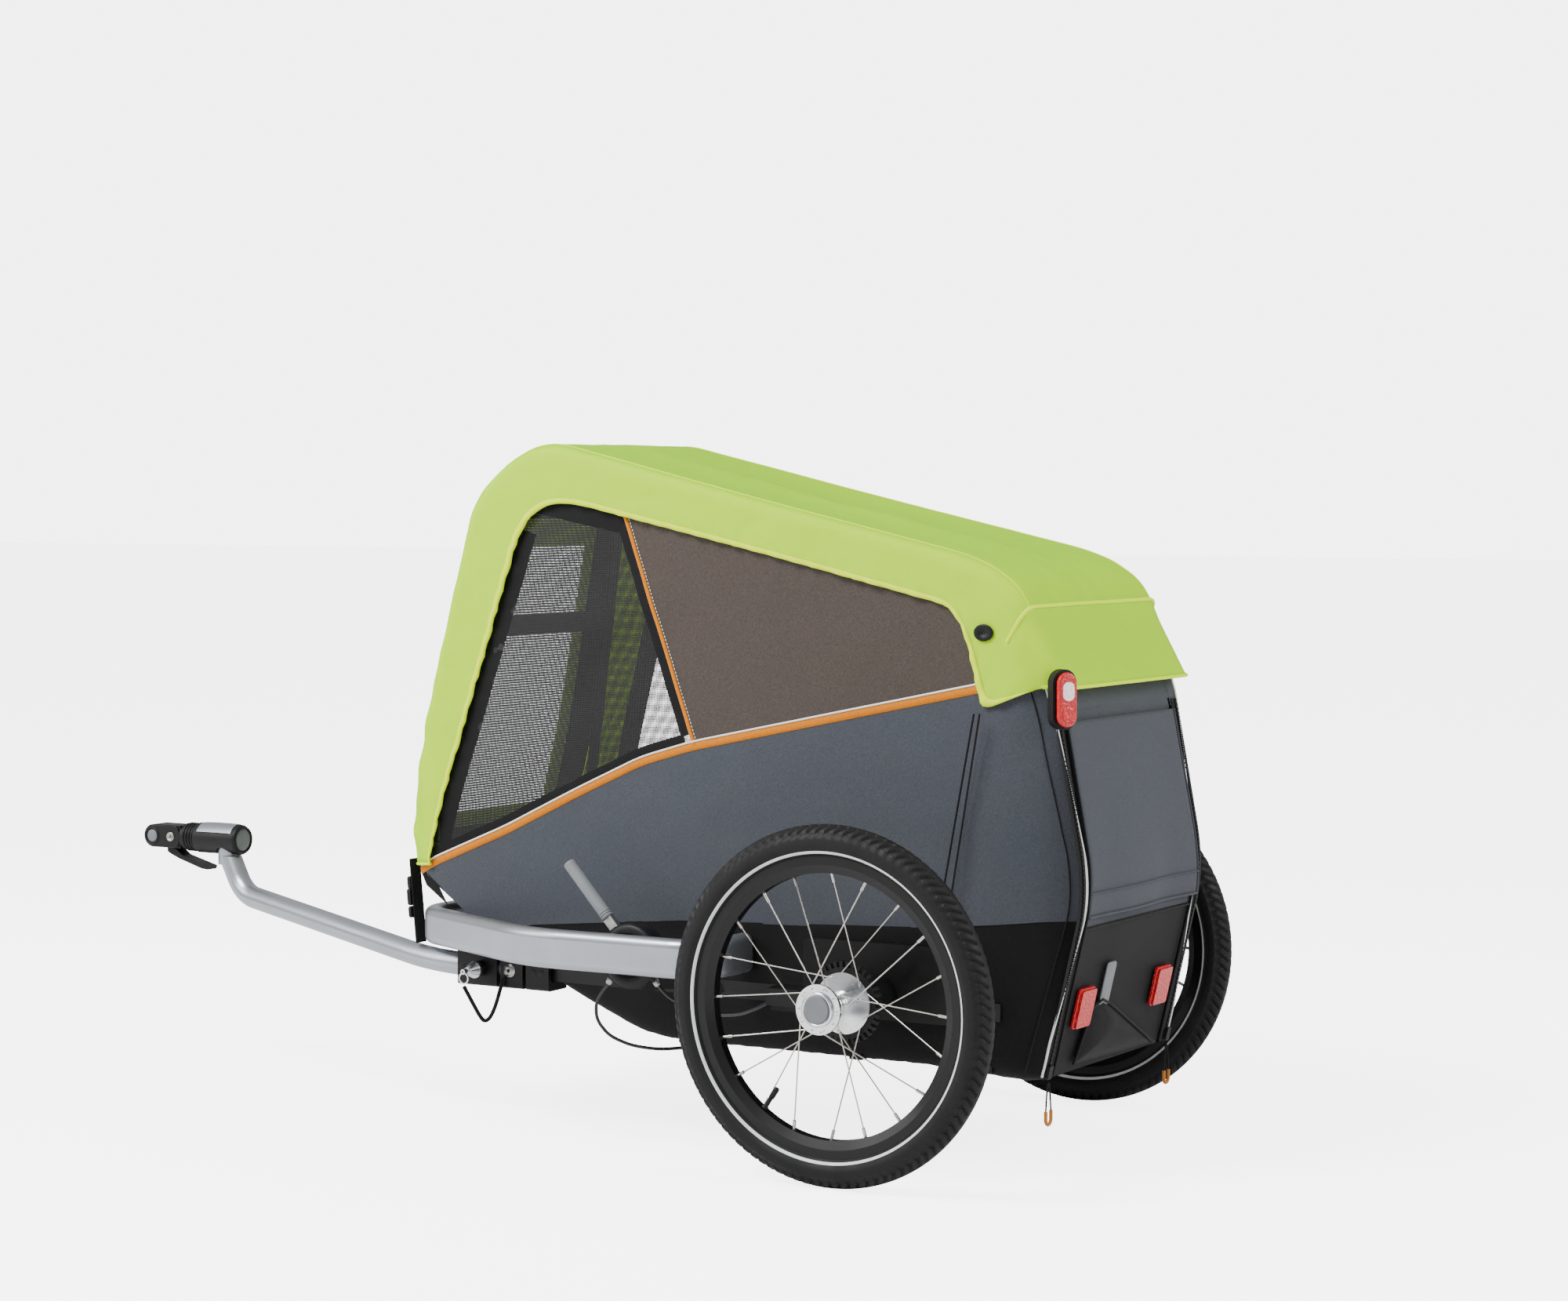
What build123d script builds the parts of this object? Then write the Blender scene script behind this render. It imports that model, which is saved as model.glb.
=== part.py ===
from build123d import *
import os
from math import cos, pi, radians, sin, tan

os.makedirs("parts", exist_ok=True)

# Two-wheeled bicycle trailer with a fabric cabin on a tube frame.
# All sizes are in millimetres. X runs forward to the bicycle, Y to the left, Z up.
# Positions are measured from the point on the ground below the middle of the axle.

# Wheels
wheel_radius = 252.0
tyre_width = 47.0
tyre_wall = 3.5
track = 790.0
tyre_height = 43.0
rim_height = 24.0
rim_half_width = 13.5
spoke_radius = 1.0
spoke_count = 20
nipple_radius = 2.3
nipple_length = 14.0

# Hub, brake ring and stub axle, measured outward from the wheel's middle plane
axle_radius = 6.0
running_gap = 0.05
outer_flange_radius = 35.0
inner_flange_radius = 43.0
flange_offset = 33.0
flange_thickness = 4.0
hub_end = 38.0
button_radius = 19.5
button_thickness = 5.5
button_travel = 4.0
brake_ring_radius = 58.0
brake_ring_thickness = 6.0
brake_tooth_gaps = 36
brake_gap_width = 5.0
brake_gap_depth = 8.0
brake_pin_radius = 2.0
brake_pin_travel = 8.0

# Cabin
rear_reach = 291.0
cabin_half_width = 240.0
roof_half_width = 195.0
roof_height = 1036.0
skin = 4.0
cover_thickness = 3.0
floor_height = 143.0
tub_height = 330.0
door_top = 655.0
door_side_margin = 60.0
door_gap = 0.3
flap_inset = 3.0
flap_top = 640.0
flap_bottom = 367.0

# Frame
rail_size = 25.0
rail_height = 236.0
hoop_radius = 9.0
tube_wall = 1.5
foam_radius = 15.0
bar_gap = 1.0
peak_bend_relief = 7.0
front_bend_relief = 3.0
bumper_width = 28.0
bumper_depth = 58.0
bumper_height = 292.0
bumper_wall = 2.0
bumper_tyre_gap = 9.5

# Drawbar and hitch
front_reach = 1505.0
hitch_offset = 80.0
hitch_height = 384.0
drawbar_radius = 18.0
drawbar_wall = 2.5
lock_pin_radius = 5.0
lock_pin_travel = 12.0
axle_stud_radius = 8.05
yoke_radius = 25.0
roll_spindle_radius = 9.0
yaw_stud_radius = 8.0

# Parking brake
lever_length = 174.0
lever_angle = 47.8
drum_radius = 48.0
grip_radius = 9.2
cable_radius = 2.5

# Cords
lanyard_radius = 3.0
pull_cord_radius = 1.2
elastic_radius = 1.5

# Places that follow from the sizes above
bead_radius = wheel_radius - tyre_height
rim_inner_radius = bead_radius - rim_height
door_half_width = cabin_half_width - door_side_margin
flap_half_width = door_half_width - flap_inset
axle_x = (rear_reach - front_reach) / 2
lift = wheel_radius - 252.0
wheel_y = track / 2
rear_face = rear_reach - cover_thickness - 1.0
bumper_side_y = wheel_y - tyre_width / 2 - bumper_tyre_gap - bumper_width / 2
lever_y = bumper_side_y - bumper_width / 2 - 17.0
rail_y = cabin_half_width - skin - rail_size / 2
zip_y = door_half_width + 16.0
half_span = 400.0
hitch_x = front_reach - 160.0


def at(x, y, z):
    # a point x ahead of the axle, y to the left and z above the ground
    return Vector(axle_x + x, y, z + lift)


ahead = (1, 0, 0)
backward = (-1, 0, 0)
to_left = (0, 1, 0)
to_right = (0, -1, 0)
upward = (0, 0, 1)

side_view = Plane(origin=at(0, half_span, 0), x_dir=ahead, z_dir=to_right)
rear_view = Plane(origin=at(-half_span, 0, 0), x_dir=to_left, z_dir=ahead)
top_view = Plane(origin=at(0, 0, 0), x_dir=ahead, z_dir=upward)


def save(piece, name):
    piece.label = name
    export_step(piece, f"parts/{name}.step")


def cord_radii(points):
    # the largest tangent arc that the runs beside each corner allow
    radii = []
    for before, corner, after in zip(points, points[1:], points[2:]):
        first_run = corner - before
        second_run = after - corner
        half_turn = radians(first_run.get_angle(second_run)) / 2
        radii.append(0.45 * min(first_run.length, second_run.length) / tan(half_turn))
    return radii


def round_tube(points, radii, outer, wall=0.0):
    # a round bar or tube along straight runs joined by tangent arcs
    with BuildPart() as tube:
        with BuildLine() as path:
            FilletPolyline(*points, radius=radii)
        with BuildSketch(Plane(origin=path.line @ 0, z_dir=path.line % 0)):
            Circle(outer)
            if wall:
                Circle(outer - wall, mode=Mode.SUBTRACT)
        sweep(path=path.line)
    return tube.part


def cord(points, radius, name):
    radii = cord_radii(points)
    piece = round_tube(points, radii, radius)
    length = piece.volume / (pi * radius**2)
    print(name, "radii", [round(r, 1) for r in radii], "length", round(length, 1))
    save(piece, name)


# ---------------------------------------------------------------- cabin shell
cabin_outline = [
    (-rear_face + 57, 137), (-205, 131), (-50, floor_height), (370, floor_height), (430, 152),
    (557, 211), (767, 337), (845, 388), (850, 460), (752, 924), (690, roof_height - 51),
    (613, roof_height), (-100, 869), (-197, 805), (-247, door_top),
    (-rear_face, 440), (-rear_face, 380),
]


def half_width(z):
    # the cabin's half width, which narrows above mid height
    taper = (cabin_half_width - roof_half_width) / 560.0
    return cabin_half_width - max(0.0, z - 500.0) * taper


def cabin_body(grow):
    # the closed cabin with its faces moved outward by grow
    with BuildPart() as body:
        with BuildSketch(side_view):
            with BuildLine():
                Polyline(*cabin_outline, close=True)
            make_face()
            offset(amount=grow, kind=Kind.INTERSECTION)
        extrude(amount=2 * half_span)
        with BuildSketch(rear_view):
            right_edge = [(-cabin_half_width + 40, 120), (-cabin_half_width + 8, 150),
                          (-cabin_half_width, 200), (-cabin_half_width, 500), (-half_width(1100), 1100)]
            left_edge = [(-y, z) for y, z in reversed(right_edge)]
            with BuildLine():
                Polyline(*right_edge, *left_edge, close=True)
            make_face()
            offset(amount=grow, kind=Kind.INTERSECTION)
        extrude(amount=2000, mode=Mode.INTERSECT)
        with BuildSketch(top_view):
            left_side = [(-300, cabin_half_width - 68), (-109, cabin_half_width + 50),
                         (748, cabin_half_width + 50), (862, cabin_half_width - 35)]
            right_side = [(x, -y) for x, y in reversed(left_side)]
            with BuildLine():
                Polyline(*left_side, *right_side, close=True)
            make_face()
            offset(amount=grow, kind=Kind.INTERSECTION)
        extrude(amount=1300, mode=Mode.INTERSECT)
    return body.part


def skin_region(shell, region, half=half_span, inset=skin + 0.5):
    # the faces of a shell seen edge-on inside a region of the side view
    with BuildPart() as piece:
        add(shell)
        with BuildSketch(Plane(origin=at(0, half, 0), x_dir=ahead, z_dir=to_right)):
            with BuildLine():
                Polyline(*region, close=True)
            make_face()
            with BuildSketch(mode=Mode.PRIVATE) as inner:
                with BuildLine():
                    Polyline(*cabin_outline, close=True)
                make_face()
                offset(amount=-inset, kind=Kind.INTERSECTION)
            add(inner.sketch, mode=Mode.SUBTRACT)
        extrude(amount=2 * half, mode=Mode.INTERSECT)
    return piece.part


cabin_shell = cabin_body(0.0) - cabin_body(-skin)
rail_slot = 0.3

with BuildPart() as tub:
    add(cabin_shell)
    with BuildSketch(side_view):
        with Locations((250, tub_height / 2)):
            Rectangle(1400, tub_height)
    extrude(amount=2 * half_span, mode=Mode.INTERSECT)
    with BuildSketch(rear_view):
        with Locations((0, 140 + 150)):
            Rectangle(2 * door_half_width, 300)
    extrude(amount=half_span - 224, mode=Mode.SUBTRACT)
    for side in (1, -1):
        with BuildSketch(Plane(origin=at(540, side * rail_y, rail_height), x_dir=to_left, z_dir=ahead)):
            Rectangle(rail_size + 2 * rail_slot, rail_size + 2 * rail_slot)
        extrude(amount=120, mode=Mode.SUBTRACT)
save(tub.part, "tub")

wall_base = tub_height + 0.3
for name, side in (("left", 1), ("right", -1)):
    with BuildPart() as wall:
        add(cabin_shell)
        with BuildSketch(side_view):
            with BuildLine():
                Polyline(*cabin_outline, close=True)
            make_face()
            offset(amount=-skin - 0.5, kind=Kind.INTERSECTION)
            with Locations((-275, (wall_base + door_top) / 2)):
                Rectangle(250, door_top - wall_base)
        extrude(amount=2 * half_span, mode=Mode.INTERSECT)
        with BuildSketch(side_view):
            with Locations((250, wall_base / 2)):
                Rectangle(1400, wall_base)
        extrude(amount=2 * half_span, mode=Mode.SUBTRACT)
        with BuildSketch(rear_view):
            with Locations((-side * (half_span / 2 - door_half_width / 2), 600)):
                Rectangle(half_span + door_half_width, 1400)
        extrude(amount=2000, mode=Mode.SUBTRACT)
    save(wall.part, f"{name}_wall")

roof_region = [(-400, door_top), (-180, door_top), (-150, 780), (660, 955), (760, 1080), (700, 1300),
               (-400, 1300)]
save(skin_region(cabin_shell, roof_region), "roof_panel")

front_region = [(700, wall_base), (700, 900), (660, 955), (760, 1080), (1000, 1080), (1000, wall_base)]
save(skin_region(cabin_shell, front_region), "front_panel")

door_low = 140 + door_gap
door_high = door_top - door_gap
door_region = [(-400, door_low), (-224, door_low), (-224, door_high), (-400, door_high)]
save(skin_region(cabin_shell, door_region, door_half_width - door_gap), "rear_door")

flap_shell = cabin_body(skin) - cabin_body(1.0)
flap_region = [(-400, flap_bottom), (-224, flap_bottom), (-224, flap_top), (-400, flap_top)]
save(skin_region(flap_shell, flap_region, flap_half_width, 0.0), "door_flap")

# The rain cover lies over the roof, the front and the upper edges of the sides
cover_shell = cabin_body(0.3 + cover_thickness) - cabin_body(0.3)
with BuildPart() as rain_cover:
    add(cover_shell)
    with BuildSketch(side_view):
        with BuildLine():
            Polyline((-400, door_top), (-146, door_top), (-92, 799), (190, 868), (590, 950), (650, 901),
                     (803, 388), (1000, 388), (1000, 1200), (-400, 1200), close=True)
        make_face()
    extrude(amount=2 * half_span, mode=Mode.INTERSECT)
save(rain_cover.part, "rain_cover")

# The lower door is one flat face that leans back toward its middle
door_foot = (-rear_face + 57, 137)
door_knee = (-rear_face, 380)
lean = Vector(door_knee[0] - door_foot[0], 0, door_knee[1] - door_foot[1]).normalized()
door_out = Vector(-lean.Z, 0, lean.X)


def on_door(y, z, stand_off=0.0):
    # a point on the lower door, stood off along the door's outward normal
    share = (z - door_foot[1]) / (door_knee[1] - door_foot[1])
    x = door_foot[0] + share * (door_knee[0] - door_foot[0])
    return at(x, y, z) + door_out * stand_off


def door_plane(y, z, stand_off=0.0):
    return Plane(origin=on_door(y, z, stand_off), x_dir=to_right, z_dir=door_out)


with BuildPart() as reflectors:
    for side in (1, -1):
        with BuildSketch(door_plane(side * 128, 236)):
            RectangleRounded(45, 55, 4)
        extrude(amount=8)
save(reflectors.part, "reflectors")

with BuildPart() as pouch:
    with BuildSketch(door_plane(0, 190)):
        with BuildLine():
            Polyline((-150, -44), (40, 40), (70, 50), (98, 42), (122, -38), close=True)
        make_face()
    extrude(amount=14)
save(pouch.part, "pouch")

# ---------------------------------------------------------------- inner frame
hoop_inset = skin + hoop_radius + 3.0
front_hoop_inset = 10.0
hoop_line = [(-165, 249), (-172, 450), (-140, 788), (608, 1006), (735, 903), (816, 457), (800, 405)]
hoop_bends = [60, 60, 60, 60, 25]

for name, side in (("left", 1), ("right", -1)):
    points = []
    for x, z in hoop_line:
        inset = hoop_inset + (front_hoop_inset if x > 650 else 0)
        points.append(at(x, side * (half_width(z) - inset), z))
    hoop = round_tube(points, hoop_bends, hoop_radius, tube_wall)
    save(hoop, f"{name}_hoop")


def bar_between(x, z, radius, half_length, hole=0.0):
    # a crosswise bar, or a sleeve around one
    with BuildPart() as bar:
        with BuildSketch(Plane(origin=at(x, half_length, z), x_dir=ahead, z_dir=to_right)):
            Circle(radius)
            if hole:
                Circle(hole, mode=Mode.SUBTRACT)
        extrude(amount=2 * half_length)
    return bar.part


front_bar = (764, 750)
upper_bar_half = half_width(front_bar[1]) - hoop_inset - front_hoop_inset - hoop_radius - front_bend_relief
with BuildPart() as crossbars:
    add(bar_between(front_bar[0], front_bar[1], hoop_radius, upper_bar_half))
    add(bar_between(-142, 772, hoop_radius, half_width(772) - hoop_inset - hoop_radius - bar_gap))
    peak_bar_half = half_width(998) - hoop_inset - hoop_radius - bar_gap - peak_bend_relief
    add(bar_between(590, 998, hoop_radius, peak_bar_half))
save(crossbars.part, "crossbars")
save(bar_between(front_bar[0], front_bar[1], foam_radius, upper_bar_half - 10, hoop_radius), "crossbar_foam")

cross_size = 20.0
cross_low = floor_height + skin + 1.0
left_rail_end = 628.0
right_rail_end = 785.0
with BuildPart() as floor_frame:
    for side, end in ((1, left_rail_end), (-1, right_rail_end)):
        with BuildSketch(Plane(origin=at(-180, side * rail_y, rail_height), x_dir=to_left, z_dir=ahead)):
            Rectangle(rail_size, rail_size)
            Rectangle(rail_size - 4, rail_size - 4, mode=Mode.SUBTRACT)
        extrude(amount=180 + end)
    for x in (-150, 60, 350):
        post_y = rail_y - rail_size / 2 + 1
        with BuildSketch(Plane(origin=at(x - cross_size / 2, 0, 0), x_dir=to_left, z_dir=ahead)):
            with Locations((0, cross_low + cross_size / 2)):
                Rectangle(2 * post_y + cross_size, cross_size)
            with Locations((post_y, (cross_low + rail_height - rail_size / 2) / 2),
                           (-post_y, (cross_low + rail_height - rail_size / 2) / 2)):
                Rectangle(cross_size, rail_height - rail_size / 2 - cross_low)
        extrude(amount=cross_size)
    pad_base = rail_height + rail_size / 2
    pad_top = bumper_height - bumper_depth / 2
    with BuildSketch(Plane(origin=at(760, -rail_y, pad_base), x_dir=ahead, z_dir=upward)):
        Rectangle(50, rail_size)
    extrude(amount=pad_top - pad_base)
save(floor_frame.part, "floor_frame")

# The bumper is a flat-oval tube that runs round the front and turns in behind each tyre
bumper_back = 235.0
bumper_front = 826.0
bumper_points = [
    at(bumper_back, cabin_half_width, bumper_height), at(bumper_back, bumper_side_y, bumper_height),
    at(545, bumper_side_y + 2, bumper_height), at(bumper_front, cabin_half_width - 25, bumper_height),
]
bumper_points += [Vector(p.X, -p.Y, p.Z) for p in reversed(bumper_points)]
with BuildPart() as bumper_frame:
    with BuildLine() as bumper_line:
        FilletPolyline(*bumper_points, radius=[55, 260, 55, 55, 260, 55])
    with BuildSketch(Plane(origin=bumper_line.line @ 0, x_dir=ahead, z_dir=bumper_line.line % 0)):
        RectangleRounded(bumper_width, bumper_depth, bumper_width / 2 - 1)
        RectangleRounded(bumper_width - 2 * bumper_wall, bumper_depth - 2 * bumper_wall,
                         bumper_width / 2 - bumper_wall - 1, mode=Mode.SUBTRACT)
    sweep(path=bumper_line.line)
save(bumper_frame.part, "bumper_frame")

# ---------------------------------------------------------------- wheels and brakes
pin_engagement = 6.0
pin_tip = brake_ring_radius + brake_pin_travel - pin_engagement
ring_offset = flange_offset + flange_thickness + brake_ring_thickness / 2
spoke_hole_outer = outer_flange_radius - 5.0
spoke_hole_inner = inner_flange_radius - 5.0
spoke_lead = 48.0
spoke_stagger = 1.8
plate_thickness = 10.0

for name, side in (("left", 1), ("right", -1)):
    centre = Vector(axle_x, side * wheel_y, wheel_radius)
    # local x is the radius and local y runs outward along the axle
    section = Plane(origin=centre, x_dir=upward, z_dir=(-side, 0, 0))
    wheel_axis = Axis(centre, (0, 1, 0))

    with BuildPart() as tyre:
        with BuildSketch(section):
            tyre_middle = wheel_radius - tyre_width / 2
            with Locations((tyre_middle, 0)):
                Circle(tyre_width / 2)
                Circle(tyre_width / 2 - tyre_wall, mode=Mode.SUBTRACT)
            with Locations((bead_radius - 15 + 0.2, 0)):
                Rectangle(30, 2 * rim_half_width + 8, mode=Mode.SUBTRACT)
        revolve(axis=wheel_axis)
    save(tyre.part, f"{name}_tyre")

    with BuildPart() as rim:
        with BuildSketch(section):
            rim_edge = [(rim_inner_radius, 7.5), (rim_inner_radius + 12, rim_half_width),
                        (bead_radius, rim_half_width), (bead_radius, rim_half_width - 2.2),
                        (rim_inner_radius + 15, rim_half_width - 2.2),
                        (rim_inner_radius + 12, 7)]
            with BuildLine():
                Polyline(*rim_edge, *[(r, -y) for r, y in reversed(rim_edge)], close=True)
            make_face()
        revolve(axis=wheel_axis)
    save(rim.part, f"{name}_rim")

    with BuildPart() as hub:
        with BuildSketch(section):
            bore = axle_radius + running_gap
            inner_face = -flange_offset - flange_thickness
            pocket_floor = hub_end + 2 - button_thickness - button_travel - 0.5
            with BuildLine():
                Polyline((bore, inner_face), (inner_flange_radius, inner_face),
                         (inner_flange_radius, -flange_offset), (18, -flange_offset + 3), (13, -12), (13, 10),
                         (18, flange_offset - 5), (outer_flange_radius, flange_offset - 2),
                         (outer_flange_radius, flange_offset + 2), (button_radius + 4.5, flange_offset + 2),
                         (button_radius + 4.5, hub_end), (button_radius + 0.3, hub_end),
                         (button_radius + 0.3, pocket_floor), (bore, pocket_floor), close=True)
            make_face()
        revolve(axis=wheel_axis)
    save(hub.part, f"{name}_hub")

    with BuildPart() as hub_button:
        with BuildSketch(section):
            with BuildLine():
                Polyline((0, hub_end + 2 - button_thickness), (button_radius, hub_end + 2 - button_thickness),
                         (button_radius, hub_end + 0.5), (button_radius - 1.5, hub_end + 2), (0, hub_end + 2),
                         close=True)
            make_face()
        revolve(axis=wheel_axis)
    save(hub_button.part, f"{name}_hub_button")

    with BuildPart() as spokes:
        for index in range(spoke_count):
            rim_angle = radians(index * 360 / spoke_count)
            outer = index % 2 == 0
            crossing = 1 if index % 4 < 2 else -1
            hub_angle = rim_angle + crossing * radians(spoke_lead)
            hub_radius = spoke_hole_outer if outer else spoke_hole_inner
            hub_y = flange_offset if outer else -flange_offset - 1
            hub_y += crossing * spoke_stagger
            start = centre + Vector(hub_radius * cos(hub_angle), side * hub_y, hub_radius * sin(hub_angle))
            seat = centre + Vector(rim_inner_radius * cos(rim_angle), side * (2.5 if outer else -2.5),
                                   rim_inner_radius * sin(rim_angle))
            run = seat - start
            with BuildSketch(Plane(origin=start, z_dir=run)):
                Circle(spoke_radius)
            extrude(amount=run.length)
            with BuildSketch(Plane(origin=seat, z_dir=-run)):
                Circle(nipple_radius)
            extrude(amount=nipple_length)
    save(spokes.part, f"{name}_spokes")

    with BuildPart() as brake_ring:
        ring_plane = Plane(origin=centre - Vector(0, side * ring_offset, 0), x_dir=ahead, z_dir=to_right)
        with BuildSketch(ring_plane):
            Circle(brake_ring_radius)
            Circle(22, mode=Mode.SUBTRACT)
            with PolarLocations(brake_ring_radius - brake_gap_depth / 2 + 0.5, brake_tooth_gaps):
                Rectangle(brake_gap_depth + 1, brake_gap_width, mode=Mode.SUBTRACT)
        extrude(amount=brake_ring_thickness / 2, both=True)
    save(brake_ring.part, f"{name}_brake_ring")

    receiver_end = wheel_y - ring_offset - brake_ring_thickness / 2 - 3
    with BuildPart() as axle:
        with BuildSketch(Plane(origin=(axle_x, side * (cabin_half_width + 20), wheel_radius), x_dir=ahead,
                               z_dir=(0, side, 0))):
            Circle(axle_radius)
        extrude(amount=wheel_y + flange_offset - 4 - cabin_half_width - 20)
    save(axle.part, f"{name}_axle")

    # bracket on the tub's side, axle socket and the guide of the brake pin
    ring_y = wheel_y - ring_offset
    with BuildPart() as brake_unit:
        with BuildSketch(Plane(origin=at(12, side * cabin_half_width, 268), x_dir=ahead, z_dir=(0, side, 0))):
            RectangleRounded(236, 108, 8)
        extrude(amount=plate_thickness)
        with BuildSketch(Plane(origin=(axle_x, side * cabin_half_width, wheel_radius), x_dir=ahead,
                               z_dir=(0, side, 0))):
            Circle(22)
        extrude(amount=receiver_end - cabin_half_width)
        with BuildPart(Plane(origin=(axle_x, 0, wheel_radius)), mode=Mode.PRIVATE) as arm:
            with Locations((62, side * (receiver_end - 14), -4)):
                Box(124, 26, 34)
            with Locations(((pin_tip + 6 + 125) / 2, side * (ring_y - 2), 0)):
                Box(125 - pin_tip - 6, 18, 24)
        add(arm.part)
        with BuildSketch(Plane(origin=(axle_x, side * (cabin_half_width + 20), wheel_radius), x_dir=ahead,
                               z_dir=(0, side, 0))):
            Circle(axle_radius)
        extrude(amount=200, mode=Mode.SUBTRACT)
        with BuildSketch(Plane(origin=(axle_x + pin_tip, side * ring_y, wheel_radius), z_dir=ahead)):
            Circle(brake_pin_radius + running_gap)
        extrude(amount=52, mode=Mode.SUBTRACT)
        bolt_hole = Plane(origin=at(-90, side * cabin_half_width, 314.5), x_dir=ahead, z_dir=(0, side, 0))
        with BuildSketch(bolt_hole):
            Circle(4)
        extrude(amount=plate_thickness + 7)
    save(brake_unit.part, f"{name}_brake_unit")

    with BuildPart() as brake_pin:
        with BuildSketch(Plane(origin=(axle_x + pin_tip, side * ring_y, wheel_radius), z_dir=ahead)):
            Circle(brake_pin_radius)
        extrude(amount=50)
    save(brake_pin.part, f"{name}_brake_pin")

# ---------------------------------------------------------------- parking brake lever
pivot = at(374, lever_y, 287)
slot = 10.4
with BuildPart() as lever_housing:
    outer_cheek = (slot / 2, 17 - slot / 2, drum_radius)
    inner_cheek = (-slot / 2 - 11.5, 11.5, drum_radius - 4)
    for start, length, radius in (outer_cheek, inner_cheek):
        with BuildSketch(Plane(origin=pivot + Vector(0, start, 0), x_dir=ahead, z_dir=to_left)):
            Circle(radius)
        extrude(amount=length)
    with BuildSketch(Plane(origin=pivot - Vector(0, slot / 2 + 1, 0), x_dir=ahead, z_dir=to_left)):
        Circle(5)
    extrude(amount=slot + 2)
save(lever_housing.part, "lever_housing")

along = Vector(cos(radians(lever_angle)), 0, sin(radians(lever_angle)))
grip_start = 66.0
with BuildPart() as brake_lever:
    lever_plane = Plane(origin=pivot + Vector(0, 4.5, 0), x_dir=along, z_dir=to_right)
    with BuildSketch(lever_plane):
        Circle(16)
        with Locations(((grip_start + 4) / 2, 0)):
            Rectangle(grip_start + 4, 15)
        Circle(5 + running_gap, mode=Mode.SUBTRACT)
    extrude(amount=9)
    with BuildSketch(Plane(origin=pivot + along * grip_start, z_dir=along)):
        Circle(5)
    extrude(amount=lever_length - grip_start - 12)
save(brake_lever.part, "brake_lever")

with BuildPart() as lever_grip:
    with BuildSketch(Plane(origin=pivot + along * (grip_start + 4), z_dir=along)):
        Circle(grip_radius)
    extrude(amount=lever_length - grip_start - 4)
    fillet(lever_grip.faces().sort_by(Axis.Z)[-1].edges(), 3)
    with BuildSketch(Plane(origin=pivot + along * (grip_start + 4), z_dir=along)):
        Circle(5)
    extrude(amount=lever_length - grip_start - 16, mode=Mode.SUBTRACT)
save(lever_grip.part, "lever_grip")

brake_end = 126.0
brake_end_y = receiver_end - 14
near_cable = [at(342, lever_y, 255), at(322, lever_y - 2, 232), at(288, lever_y - 6, 216),
              at(244, lever_y - 8, 209), at(200, lever_y - 4, 213), at(160, brake_end_y - 9, 228),
              at(brake_end, brake_end_y, 245)]
cord(near_cable, cable_radius, "near_brake_cable")

far_cable = [at(406, lever_y, 255), at(428, lever_y - 1, 236), at(446, lever_y - 4, 212),
             at(449, lever_y - 10, 186), at(436, lever_y - 22, 162), at(412, lever_y - 44, 146),
             at(388, lever_y - 84, 136), at(372, lever_y - 138, 133), at(362, 120, 132),
             at(358, 60, 134), at(362, 0, 132),
             at(358, -60, 134), at(360, -120, 132), at(352, -178, 133), at(338, -228, 137),
             at(312, -266, 150), at(272, -294, 174),
             at(222, -312, 202), at(172, -324, 228), at(brake_end, -brake_end_y, 245)]
cord(far_cable, cable_radius, "far_brake_cable")

# ---------------------------------------------------------------- drawbar
drawbar_points = [at(630, rail_y, rail_height), at(800, rail_y, rail_height),
                  at(hitch_x - 48, hitch_offset + 9, hitch_height - 88),
                  at(hitch_x, hitch_offset, hitch_height - 8)]
drawbar_cut = hitch_height - 27
plug_top = hitch_height - 10
lock_x = 700.0
tube_top = rail_y + drawbar_radius
with BuildPart() as drawbar:
    add(round_tube(drawbar_points, [500, 62], drawbar_radius, drawbar_wall))
    split(bisect_by=Plane(origin=at(0, 0, drawbar_cut)), keep=Keep.BOTTOM)
    with BuildSketch(Plane(origin=at(hitch_x - 7, hitch_offset + 1, drawbar_cut - 14))):
        Circle(drawbar_radius - 1.5)
    extrude(amount=plug_top - drawbar_cut + 14)
    with BuildSketch(Plane(origin=at(hitch_x - 7, hitch_offset + 1, plug_top))):
        Circle(yaw_stud_radius)
    extrude(amount=26)
    with BuildSketch(Plane(origin=at(lock_x, tube_top - drawbar_wall - 6, rail_height), x_dir=ahead,
                           z_dir=to_left)):
        Circle(lock_pin_radius + 0.3)
    extrude(amount=20, mode=Mode.SUBTRACT)
save(drawbar.part, "drawbar")
yaw_x = hitch_x - 7
yaw_y = hitch_offset + 1

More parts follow.
